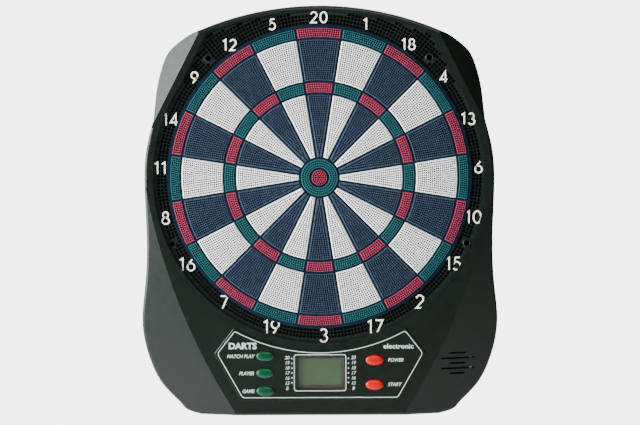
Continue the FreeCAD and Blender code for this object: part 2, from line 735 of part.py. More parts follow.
def lcd_window():
    """Clear lens: a plate behind the case wall with a raised field in the opening."""
    plate = prism(rounded_face(0, WINDOW_Z, 72, 51.6, 2), PLATEAU_Y + SKIN_T + 0.1, -33.0)
    field = rounded_face(0, WINDOW_Z, WINDOW_W - 0.4, WINDOW_H - 0.4, WINDOW_R - 0.2)
    return plate.fuse(prism(field, -37.3, PLATEAU_Y + SKIN_T + 0.3)).removeSplitter()


def lcd_holder():
    """Frame that keeps the display over its contact strips."""
    outer = block(-38, 38, -32.8, PCB_FRONT_Y - 0.1, WINDOW_Z - 27.5, WINDOW_Z + 27.5)
    inner = block(-35.2, 35.2, -40, 0, WINDOW_Z - 24.7, WINDOW_Z + 24.7)
    return outer.cut(inner)


def lcd_glass():
    """Liquid-crystal cell."""
    return block(-35, 35, -32.8, -30.4, WINDOW_Z - 24.5, WINDOW_Z + 24.5)


def elastomer_strips():
    """Two contact strips between the display and the circuit board."""
    strips = []
    for side in (-1, 1):
        z = WINDOW_Z + side * 22.6
        strips.append(block(-33, 33, -30.3, PCB_FRONT_Y - 0.1, z - 1.2, z + 1.2))
    return strips


def speaker_frame():
    """Pressed basket of the loudspeaker."""
    y = SPEAKER_FRONT_Y
    rim = tube(SPEAKER_X, SPEAKER_Z, SPEAKER_R, SPEAKER_R - 2.5, y, y + 1.2)
    outer = Part.makeCone(SPEAKER_R - 1.2, 12.5, 7.0, V(SPEAKER_X, y + 1.0, SPEAKER_Z), V(0, 1, 0))
    inner = Part.makeCone(SPEAKER_R - 2.0, 11.7, 7.0, V(SPEAKER_X, y + 0.2, SPEAKER_Z), V(0, 1, 0))
    body = rim.fuse(outer).cut(inner)
    body = body.cut(disc(SPEAKER_X, SPEAKER_Z, 6.0, -50, 0))
    return body.removeSplitter()


def speaker_cone():
    """Paper cone with a dust cap."""
    y = SPEAKER_FRONT_Y + 0.3
    outer = Part.makeCone(SPEAKER_R - 3.0, 6.0, 5.4, V(SPEAKER_X, y + 0.3, SPEAKER_Z), V(0, 1, 0))
    inner = Part.makeCone(SPEAKER_R - 3.3, 5.7, 5.4, V(SPEAKER_X, y - 0.02, SPEAKER_Z), V(0, 1, 0))
    cap = Part.makeSphere(9.0, V(SPEAKER_X, y + 11.4, SPEAKER_Z))
    cap = cap.cut(Part.makeSphere(8.7, V(SPEAKER_X, y + 11.4, SPEAKER_Z)))
    cap = cap.common(disc(SPEAKER_X, SPEAKER_Z, 7.2, y, y + 5.4))
    return outer.cut(inner).fuse(cap).removeSplitter()


def speaker_magnet():
    """Round magnet with its end plate."""
    y = SPEAKER_FRONT_Y + 8.1
    return disc(SPEAKER_X, SPEAKER_Z, 11.0, y, y + 5.0)


def wire(points, radius=0.7):
    """Insulated wire: straight runs between (x, y, z) points, joined by large arcs."""
    corners = [V(*p) for p in points]
    edges = []
    at = corners[0]
    for before, corner, after in zip(corners, corners[1:], corners[2:]):
        back = (before - corner)
        ahead = (after - corner)
        reach = 0.45 * min(back.Length, ahead.Length)
        back.normalize()
        ahead.normalize()
        half = back.getAngle(ahead) / 2
        inside = (back + ahead).normalize()
        bend = reach * math.tan(half)
        middle = corner + inside * (bend / math.sin(half) - bend)
        edges.append(Part.makeLine(at, corner + back * reach))
        edges.append(Part.Arc(corner + back * reach, middle, corner + ahead * reach).toShape())
        at = corner + ahead * reach
    edges.append(Part.makeLine(at, corners[-1]))
    section = Part.Wire(Part.makeCircle(radius, corners[0], corners[1] - corners[0]))
    return Part.Wire(edges).makePipeShell([section], True, True)


def battery_cell(index):
    """AA cell lying across; neighbours point opposite ways."""
    z = BAY_Z + (index - 1) * CELL_PITCH
    flip = -1 if index % 2 else 1
    plate = 0.6
    tip = BAY_X + flip * (BAY_W / 2 - plate)
    nub = Part.makeCylinder(NUB_R, NUB_LEN + 0.2, V(tip, CELL_Y, z), V(-flip, 0, 0))
    can = Part.makeCylinder(CELL_R, CELL_LEN, V(tip - flip * NUB_LEN, CELL_Y, z), V(-flip, 0, 0))
    can = can.makeFillet(0.6, [e for e in can.Edges if e.Length > 40 and len(e.Vertexes) == 1])
    return can.fuse(nub).removeSplitter()


def battery_spring(index):
    """Bowed leaf spring that presses on a cell's flat end."""
    z = BAY_Z + (index - 1) * CELL_PITCH
    flip = -1 if index % 2 else 1
    base = BAY_X - flip * (BAY_W / 2 - 0.55)
    bow = BAY_W - 1.15 - CELL_LEN - NUB_LEN - 0.7
    thick = 0.3

    def at(across, along):
        """A point of the strip, across the cell and out from its contact plate."""
        return V(base + flip * along, CELL_Y + across, z - 4)

    outer = Part.Arc(at(-5.0, 0), at(0, bow), at(5.0, 0)).toShape()
    inner = Part.Arc(at(-5.0 + thick, 0), at(0, bow - thick), at(5.0 - thick, 0)).toShape()
    ends = [Part.makeLine(at(s * 5.0, 0), at(s * (5.0 - thick), 0)) for s in (-1, 1)]
    return face_of([outer, inner] + ends).extrude(V(0, 0, 8))


def battery_contact(index, end):
    """Plated strip at one end of a cell."""
    z = BAY_Z + (index - 1) * CELL_PITCH
    x = BAY_X + end * (BAY_W / 2 - 0.3)
    return block(x - 0.2, x + 0.2, CELL_Y - 5.5, CELL_Y + 5.5, z - 5.5, z + 5.5)


save(front_housing(), "front_housing")
save(rear_cover(), "rear_cover")
save(battery_door(), "battery_door")
save(catch_ring(), "catch_ring")
save(spider(), "spider")
upright = number_segments()
for place, number in enumerate(NUMBERS):
    turned = []
    for solid in upright:
        piece = solid.copy()
        piece.rotate(V(0, 0, 0), V(0, 1, 0), SECTOR * place)
        turned.append(piece)
    save(Part.makeCompound(turned), "number_%02d_segments" % number)
save(outer_bull(), "outer_bull")
save(inner_bull(), "inner_bull")
save(disc(0, 0, TARGET_R - 0.5, mat_front(), mat_front() + MAT_T), "rubber_mat")
save(membrane(0), "membrane_front")
save(membrane(1), "membrane_spacer")
save(membrane(2), "membrane_back")
save(membrane_tail(), "membrane_tail")
save(backing_board(), "backing_board")
board_screws = []
for i in range(BOARD_SCREWS):
    angle = math.radians(90 + 18 + 36 * i)
    x = BOARD_SCREW_R * math.cos(angle)
    z = BOARD_SCREW_R * math.sin(angle)
    board_screws.append(screw(x, z, board_front() + BOARD_T + 0.05, 10.5))
save(Part.makeCompound(board_screws), "board_screws")
save(Part.makeCompound([screw(x, z, -3.45, 12) for x, z in CASE_SCREWS]), "case_screws")
pcb_back = PCB_FRONT_Y + PCB_T
save(Part.makeCompound(
    [screw(x, z, pcb_back + 0.05, 6.5, 2.6, 1.6, 1.2) for x, z in PCB_POSTS]), "pcb_screws")
for name, x, z in BUTTONS:
    save(button(x, z), "button_" + name)
save(keypad_mat(-1), "keypad_mat_left")
save(keypad_mat(1), "keypad_mat_right")
save(main_pcb(), "main_pcb")
save(lcd_window(), "lcd_window")
save(lcd_holder(), "lcd_holder")
save(lcd_glass(), "lcd_glass")
save(Part.makeCompound(elastomer_strips()), "elastomer_strips")
save(block(-9, 9, pcb_back + 0.05, pcb_back + 2.4, -271, -253), "controller_chip")
save(Part.makeCompound(
    [disc(x, -262, 3.2, pcb_back + 0.05, pcb_back + 9) for x in (34.0, 44.0)]), "capacitors")
save(speaker_frame(), "speaker_frame")
save(speaker_cone(), "speaker_cone")
save(speaker_magnet(), "speaker_magnet")
speaker_lead = []
battery_lead = []
for step in (-1, 1):
    shift = 2 * step
    speaker_lead.append(wire((
        (80.0, pcb_back + 1.0, -262 - shift), (98.0, -22.5, -262 - shift),
        (118.0, -14.0, -259 - shift), (142.0, -10.5, -252 - shift),
        (170.5, -11.0, SPEAKER_Z - shift))))
    battery_lead.append(wire((
        (BAY_X + BAY_W / 2 + BAY_WALL + 0.1, -12.0, -238 - shift), (-114.0, -13.5, -240 - shift),
        (-102.0, -20.0, -246 - shift), (-88.0, pcb_back + 1.0, -250 - shift))))
save(Part.makeCompound(speaker_lead), "speaker_lead")
save(Part.makeCompound(battery_lead), "battery_lead")
save(Part.makeCompound([battery_cell(i) for i in range(3)]), "batteries")
save(Part.makeCompound([battery_spring(i) for i in range(3)]), "battery_springs")
save(Part.makeCompound(
    [battery_contact(i, end) for i in range(3) for end in (-1, 1)]), "battery_contacts")
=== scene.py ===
"""Looks of an electronic dartboard for soft-tip darts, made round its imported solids.

Everything is in metres, in the solids' own frame: X to the player's right, Y from the
player into the wall, Z up, with the bull's axis through X = Z = 0.
"""

import json
import logging
import math
from collections.abc import Iterable, Sequence
from dataclasses import dataclass, field
from enum import Enum

import bmesh
import bpy
from mathutils import Matrix, Vector
from mathutils.geometry import delaunay_2d_cdt


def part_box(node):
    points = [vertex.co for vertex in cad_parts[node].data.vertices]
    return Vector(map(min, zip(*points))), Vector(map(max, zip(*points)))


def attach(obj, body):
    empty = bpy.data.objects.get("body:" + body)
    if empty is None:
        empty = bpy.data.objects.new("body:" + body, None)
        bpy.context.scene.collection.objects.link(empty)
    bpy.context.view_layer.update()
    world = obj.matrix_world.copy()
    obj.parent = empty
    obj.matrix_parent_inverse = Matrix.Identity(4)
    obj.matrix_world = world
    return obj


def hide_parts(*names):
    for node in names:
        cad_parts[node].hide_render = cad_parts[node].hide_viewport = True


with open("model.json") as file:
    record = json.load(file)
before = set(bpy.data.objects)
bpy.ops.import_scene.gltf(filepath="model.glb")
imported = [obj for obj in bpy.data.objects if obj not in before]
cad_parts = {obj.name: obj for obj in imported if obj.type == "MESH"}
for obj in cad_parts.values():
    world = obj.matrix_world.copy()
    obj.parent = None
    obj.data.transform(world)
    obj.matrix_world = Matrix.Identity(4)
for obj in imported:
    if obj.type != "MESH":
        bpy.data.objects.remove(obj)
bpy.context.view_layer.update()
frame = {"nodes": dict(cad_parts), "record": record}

Point = tuple[float, float]
Colour = tuple[float, float, float]
MM = 0.001
NUMBERS = (20, 1, 18, 4, 13, 6, 10, 15, 2, 17, 3, 19, 7, 16, 8, 11, 14, 9, 12, 5)
SECTOR = math.radians(18.0)
FLOOR_CORNERS = ((-1, -1), (1, -1), (1, 1), (-1, 1))
HOLE_SIDES = 8           # sides of a drilled dart hole
MOTTLE_SCALE = 45.0      # patches of tone along a metre
WEAR_SCALE = 120.0       # patches of wear along a metre
POLISHED, RUBBED = 0.035, 0.05   # how far wear smooths and roughens a surface
DARKEST_LIFT = 0.0003    # light that a pale patch adds even to black
DIGIT_GAP = 2.5          # space between two digits, in line widths
MITRE_LIMIT = 0.35       # keeps a sharp bend's outer corner from running out
INK_FOOT = 0.05 * MM     # how deep printing is rooted in the panel
CATCH_T = 2.5 * MM       # thickness of the catch ring
LOG = logging.getLogger("dartboard")


class Look(Enum):
    """How a surface takes light and wear."""

    MOULDED = "moulded plastic"
    GLOSSY = "polished plastic"
    PRINT = "printed ink"
    METAL = "bare metal"
    CLEAR = "clear plastic"
    SOFT = "rubber"
    FIBRE = "pressed fibre"


SHEEN: dict[Look, float] = {Look.MOULDED: 0.24, Look.SOFT: 0.08, Look.GLOSSY: 0.2, Look.CLEAR: 0.6}


@dataclass(frozen=True)
class Finish:
    """One surface finish, made into a procedural material.

    Attributes:
        name: What a maker would call it.
        colour: Base colour as screen values from 0 to 1.
        look: Kind of surface.
        roughness: Middle of the roughness range.
        grain: Depth of the fine texture in metres.
        grain_scale: Number of grains along a metre.
        mottle: How far the colour wanders, from 0 to 1.
    """

    name: str
    colour: Colour
    look: Look = Look.MOULDED
    roughness: float = 0.45
    grain: float = 0.00002
    grain_scale: float = 1400.0
    mottle: float = 0.12

    def linear(self) -> Colour:
        """The base colour in scene light."""
        return tuple(c / 12.92 if c <= 0.04045 else ((c + 0.055) / 1.055) ** 2.4 for c in self.colour)

    def material(self) -> bpy.types.Material:
        """Build the material, or give the one built before.

        Returns:
            The material with its own nodes.
        """
        if self in DRESSED:
            return DRESSED[self]
        made = bpy.data.materials.new(self.name)
        DRESSED[self] = made
        made.use_nodes = True
        tree = made.node_tree
        shader = tree.nodes["Principled BSDF"]
        self._colour(tree, shader)
        self._roughness(tree, shader)
        self._grain(tree, shader)
        if self.look in SHEEN:
            shader.inputs["Specular IOR Level"].default_value = SHEEN[self.look]
        if self.look is Look.METAL:
            shader.inputs["Metallic"].default_value = 1.0
        if self.look is Look.GLOSSY:
            shader.inputs["Coat Weight"].default_value = 0.03
            shader.inputs["Coat Roughness"].default_value = 0.12
        if self.look is Look.CLEAR:
            shader.inputs["Alpha"].default_value = 0.07
        return made

    def _noise(self, tree: bpy.types.NodeTree, scale: float, detail: float) -> bpy.types.Node:
        """A noise fixed to the piece.

        Args:
            tree: The material's nodes.
            scale: Lumps along a metre.
            detail: Layers of finer noise.

        Returns:
            The noise node.
        """
        place = tree.nodes.new("ShaderNodeTexCoord")
        noise = tree.nodes.new("ShaderNodeTexNoise")
        noise.inputs["Scale"].default_value = scale
        noise.inputs["Detail"].default_value = detail
        tree.links.new(place.outputs["Object"], noise.inputs["Vector"])
        return noise

    def _colour(self, tree: bpy.types.NodeTree, shader: bpy.types.Node) -> None:
        """Give the colour its uneven tone.

        Args:
            tree: The material's nodes.
            shader: The surface shader.
        """
        noise = self._noise(tree, MOTTLE_SCALE, 5.0)
        ramp = tree.nodes.new("ShaderNodeValToRGB")
        base = self.linear()
        low = tuple(c * (1.0 - self.mottle) for c in base)
        high = tuple(min(1.0, c * (1.0 + self.mottle) + DARKEST_LIFT) for c in base)
        ramp.color_ramp.elements[0].position = 0.32
        ramp.color_ramp.elements[0].color = (*low, 1.0)
        ramp.color_ramp.elements[1].position = 0.68
        ramp.color_ramp.elements[1].color = (*high, 1.0)
        tree.links.new(noise.outputs["Fac"], ramp.inputs["Fac"])
        tree.links.new(ramp.outputs["Color"], shader.inputs["Base Color"])

    def _roughness(self, tree: bpy.types.NodeTree, shader: bpy.types.Node) -> None:
        """Let handling and wear change the gloss from place to place.

        Args:
            tree: The material's nodes.
            shader: The surface shader.
        """
        noise = self._noise(tree, WEAR_SCALE, 7.0)
        spread = tree.nodes.new("ShaderNodeMapRange")
        spread.inputs["From Min"].default_value = 0.3
        spread.inputs["From Max"].default_value = 0.7
        spread.inputs["To Min"].default_value = max(0.02, self.roughness - POLISHED)
        spread.inputs["To Max"].default_value = min(1.0, self.roughness + RUBBED)
        tree.links.new(noise.outputs["Fac"], spread.inputs["Value"])
        tree.links.new(spread.outputs["Result"], shader.inputs["Roughness"])

    def _grain(self, tree: bpy.types.NodeTree, shader: bpy.types.Node) -> None:
        """Raise the fine texture of the surface.

        Args:
            tree: The material's nodes.
            shader: The surface shader.
        """
        if self.look in (Look.METAL, Look.FIBRE):
            detail, twist = (2.0, 0.6) if self.look is Look.METAL else (8.0, 2.5)
            texture = self._noise(tree, self.grain_scale, detail)
            texture.inputs["Distortion"].default_value = twist
            height = texture.outputs["Fac"]
        else:
            texture = tree.nodes.new("ShaderNodeTexVoronoi")
            texture.inputs["Scale"].default_value = self.grain_scale
            place = tree.nodes.new("ShaderNodeTexCoord")
            tree.links.new(place.outputs["Object"], texture.inputs["Vector"])
            height = texture.outputs["Distance"]
        bump = tree.nodes.new("ShaderNodeBump")
        bump.inputs["Strength"].default_value = 0.5
        bump.inputs["Distance"].default_value = self.grain
        tree.links.new(height, bump.inputs["Height"])
        tree.links.new(bump.outputs["Normal"], shader.inputs["Normal"])


DRESSED: dict[Finish, bpy.types.Material] = {}

CATCH_BLACK = Finish("catch_black", (0.075, 0.1, 0.093), roughness=0.25)
# Near-black painted shade inside dart holes and grille pockets, and on the wall spots behind the screw
# holes; a dart hole's floor also stands for the rubber mat behind the board.
PAINTED_HOLE_SHADE = Finish("painted_hole_shade", (0.004, 0.005, 0.005), Look.SOFT, roughness=0.9)
SEGMENT_NAVY = Finish("segment_navy", (0.17, 0.215, 0.275), roughness=0.26, mottle=0.04)
SEGMENT_WHITE = Finish("segment_white", (0.92, 0.92, 0.9), roughness=0.4, mottle=0.01)
SEGMENT_RED = Finish("segment_red", (0.52, 0.19, 0.275), roughness=0.28, mottle=0.04)
SEGMENT_GREEN = Finish("segment_green", (0.115, 0.295, 0.315), roughness=0.32, mottle=0.06)
NUMERAL_WHITE = Finish("numeral_white", (0.95, 0.94, 0.88), Look.PRINT, roughness=0.4, mottle=0.03)
PANEL_PRINT = Finish("panel_print", (0.68, 0.73, 0.7), Look.PRINT, roughness=0.35, mottle=0.04)
KEY_GREEN = Finish("key_green", (0.0, 0.21, 0.12), Look.GLOSSY, roughness=0.28, grain=0.000003, mottle=0.03)
KEY_RED = Finish("key_red", (0.64, 0.0, 0.01), Look.GLOSSY, roughness=0.28, grain=0.000003, mottle=0.03)
LCD_BORDER = Finish("lcd_border", (0.2, 0.19, 0.155), Look.PRINT, roughness=0.4, mottle=0.04)
LCD_INK = Finish("lcd_ink", (0.175, 0.235, 0.155), Look.PRINT, roughness=0.4)

SLOT_FINISHES: dict[str, Finish] = {
    "case": Finish("case_dark_green", (0.03, 0.06, 0.035), roughness=0.31, mottle=0.08),
    "rear_plastic": Finish("back_black", (0.15, 0.16, 0.155), roughness=0.5, grain=0.00004, mottle=0.05),
    "catch_black": CATCH_BLACK,
    "spider_navy": Finish("spider_navy", (0.03, 0.09, 0.15), roughness=0.22),
    "dark_segment": SEGMENT_NAVY,
    "light_segment": SEGMENT_WHITE,
    "red_segment": SEGMENT_RED,
    "green_segment": SEGMENT_GREEN,
    "green_button": KEY_GREEN,
    "red_button": KEY_RED,
    "clear_window": Finish("window_clear", (0.16, 0.18, 0.15), Look.CLEAR, roughness=0.1, grain=0.0000005),
    "lcd": Finish("lcd_green", (0.215, 0.28, 0.19), Look.PRINT,
        roughness=0.4, grain=0.0000005, mottle=0.03),
    "white_plastic": Finish("white_plastic", (0.86, 0.86, 0.84), roughness=0.5, mottle=0.03),
    "silicone": Finish("silicone_grey", (0.66, 0.68, 0.68), Look.SOFT, roughness=0.7, mottle=0.05),
    "mat_rubber": Finish("mat_rubber", (0.09, 0.09, 0.09), Look.SOFT, roughness=0.85),
    "film": Finish("printed_film", (0.72, 0.76, 0.74), Look.GLOSSY, roughness=0.25, grain=0.000004),
    "hardboard": Finish("hardboard_brown", (0.42, 0.29, 0.19), Look.FIBRE,
        roughness=0.75, grain=0.00006, grain_scale=500),
    "circuit_board": Finish("circuit_green", (0.07, 0.34, 0.17), Look.GLOSSY,
        roughness=0.35, grain=0.00001),
    "chip_black": Finish("chip_black", (0.06, 0.06, 0.065), roughness=0.5),
    "zinc_steel": Finish("zinc_steel", (0.77, 0.78, 0.76), Look.METAL,
        roughness=0.35, grain=0.000006, mottle=0.06),
    "nickel_steel": Finish("nickel_steel", (0.84, 0.82, 0.78), Look.METAL,
        roughness=0.22, grain=0.000004, mottle=0.05),
    "paper_cone": Finish("paper_cone", (0.12, 0.11, 0.1), Look.FIBRE,
        roughness=0.9, grain=0.00004, grain_scale=900),
    "ferrite": Finish("ferrite_grey", (0.2, 0.2, 0.21), roughness=0.65, grain=0.00004),
    "wire_black": Finish("wire_black", (0.07, 0.07, 0.07), Look.SOFT, roughness=0.5),
    "wire_red": Finish("wire_red", (0.65, 0.07, 0.08), Look.SOFT, roughness=0.5),
    "cell_jacket": Finish("cell_jacket", (0.16, 0.2, 0.26), Look.GLOSSY, roughness=0.25, grain=0.000006),
}


def polar(radius: float, angle: float) -> Point:
    """A point at a radius and an angle, anticlockwise from the right."""
    return (radius * math.cos(angle), radius * math.sin(angle))


def place_in_scene(name: str, data: bpy.types.ID) -> bpy.types.Object:
    """Make an object of a mesh, lamp, camera or text and put it in the scene.

    Args:
        name: Its name.
        data: What it shows.

    Returns:
        The object.
    """
    made = bpy.data.objects.new(name, data)
    bpy.context.scene.collection.objects.link(made)
    return made


def settle(made: bpy.types.Object, body: str, node: str = "") -> None:
    """Fix a piece to its body and hide the solid that it stands for.

    Args:
        made: The piece.
        body: Body that it rides on.
        node: Solid that it stands for, if any.
    """
    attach(made, body)
    if node:
        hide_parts(node)


def circle(radius: float, steps: int, centre: Point = (0.0, 0.0), turn: float = 0.0) -> list[Point]:
    """Points round a circle.

    Args:
        radius: Its radius.
        steps: Number of points.
        centre: Middle, across and up.
        turn: Angle of the first point.

    Returns:
        The points, anticlockwise.
    """
    step = math.tau / steps
    return [
        (centre[0] + radius * math.cos(turn + step * i), centre[1] + radius * math.sin(turn + step * i))
        for i in range(steps)
    ]


def inside(point: Point, outline: Sequence[Point]) -> bool:
    """Whether a point lies in an outline.

    Args:
        point: The point.
        outline: Corners of the outline in order.

    Returns:
        True if it does.
    """
    x, z = point
    within = False
    for (ax, az), (bx, bz) in zip(outline, [*outline[1:], outline[0]]):
        if (az > z) != (bz > z) and x < (bx - ax) * (z - az) / (bz - az) + ax:
            within = not within
    return within


class Shape:
    """Vertices and faces gathered for one piece."""

    def __init__(self) -> None:
        """Start with nothing."""
        self.points: list[Vector] = []
        self.faces: list[tuple[int, ...]] = []
        self.paint: list[int] = []

    def loop(self, outline: Iterable[Point], y: float) -> list[int]:
        """Add an outline at one depth.

        Args:
            outline: Points across and up.
            y: Depth.

        Returns:
            Numbers of the new vertices.
        """
        start = len(self.points)
        self.points.extend(Vector((x, y, z)) for x, z in outline)
        return list(range(start, len(self.points)))

    def face(self, corners: Sequence[int], paint: int = 0) -> None:
        """Add one face.

        Args:
            corners: Vertex numbers in order.
            paint: Which of the piece's finishes it takes.
        """
        self.faces.append(tuple(corners))
        self.paint.append(paint)

    def band(self, first: Sequence[int], second: Sequence[int], paint: int = 0) -> None:
        """Join two closed outlines of equal count with a band of faces.

        Args:
            first: One outline's vertices.
            second: The other's.
            paint: Which finish the band takes.
        """
        count = len(first)
        for i in range(count):
            j = (i + 1) % count
            self.face((first[i], first[j], second[j], second[i]), paint)

    def sheet(self, outer: Sequence[int], holes: Sequence[Sequence[int]], paint: int = 0) -> None:
        """Fill the flat area inside an outline and outside its holes.

        Args:
            outer: The outline's vertices.
            holes: The vertices of each convex hole.
            paint: Which finish it takes.
        """
        loops = [outer, *holes]
        ids: list[int] = []
        owner: list[int] = []
        edges: list[tuple[int, int]] = []
        for number, loop in enumerate(loops):
            start = len(ids)
            ids.extend(loop)
            owner.extend([number] * len(loop))
            edges.extend((start + i, start + (i + 1) % len(loop)) for i in range(len(loop)))
        flat = [Vector((self.points[i].x, self.points[i].z)) * 1000.0 for i in ids]
        found = delaunay_2d_cdt(flat, edges, [], 0, 1e-7, True)
        source = [(refs[0] if refs else -1) for refs in found[3]]
        outline = [(flat[i].x, flat[i].y) for i in range(len(outer))]
        for corners in found[2]:
            picked = [source[c] for c in corners]
            if min(picked) < 0:
                continue
            owners = {owner[c] for c in picked}
            if len(owners) == 1 and 0 not in owners:
                continue
            if owners == {0}:
                middle = sum((flat[c] for c in picked), Vector((0.0, 0.0))) / 3.0
                if not inside((middle.x, middle.y), outline):
                    continue
            self.face([ids[c] for c in picked], paint)

    def piece(self, name: str, finishes: Sequence[Finish], smooth: bool = False) -> bpy.types.Object:
        """Make the object.

        Args:
            name: Name of the piece.
            finishes: Its finishes, in the order that the faces number them.
            smooth: Whether its faces are shaded as one curve.

        Returns:
            The new object, in the scene.
        """
        mesh = bpy.data.meshes.new(name)
        mesh.from_pydata([tuple(p) for p in self.points], [], self.faces)
        mesh.polygons.foreach_set("material_index", self.paint)
        work = bmesh.new()
        work.from_mesh(mesh)
        bmesh.ops.recalc_face_normals(work, faces=work.faces)
        work.to_mesh(mesh)
        work.free()
        if smooth:
            mesh.polygons.foreach_set("use_smooth", [True] * len(mesh.polygons))
        for finish in finishes:
            mesh.materials.append(finish.material())
        return place_in_scene(name, mesh)


def copy_of(source: bpy.types.Object, name: str, turn: float) -> bpy.types.Object:
    """Another piece of the same shape, turned clockwise about the bull's axis.

    Args:
        source: The piece to copy.
        name: Name of the new piece.
        turn: Angle in radians.

    Returns:
        The new object, its turn applied to its own mesh.
    """
    mesh = source.data.copy()
    mesh.name = name
    mesh.transform(Matrix.Rotation(turn, 4, "Y"))
    return place_in_scene(name, mesh)


@dataclass(frozen=True)
class Ring:
    """One ring of segments.

    Attributes:
        name: What its segments are called.
        inner: Inner radius of a segment.
        outer: Outer radius of a segment.
        rows: Rows of dart holes from inside to outside.
        bevel: Width of the bevelled edge.
    """

    name: str
    inner: float
    outer: float
    rows: int
    bevel: float


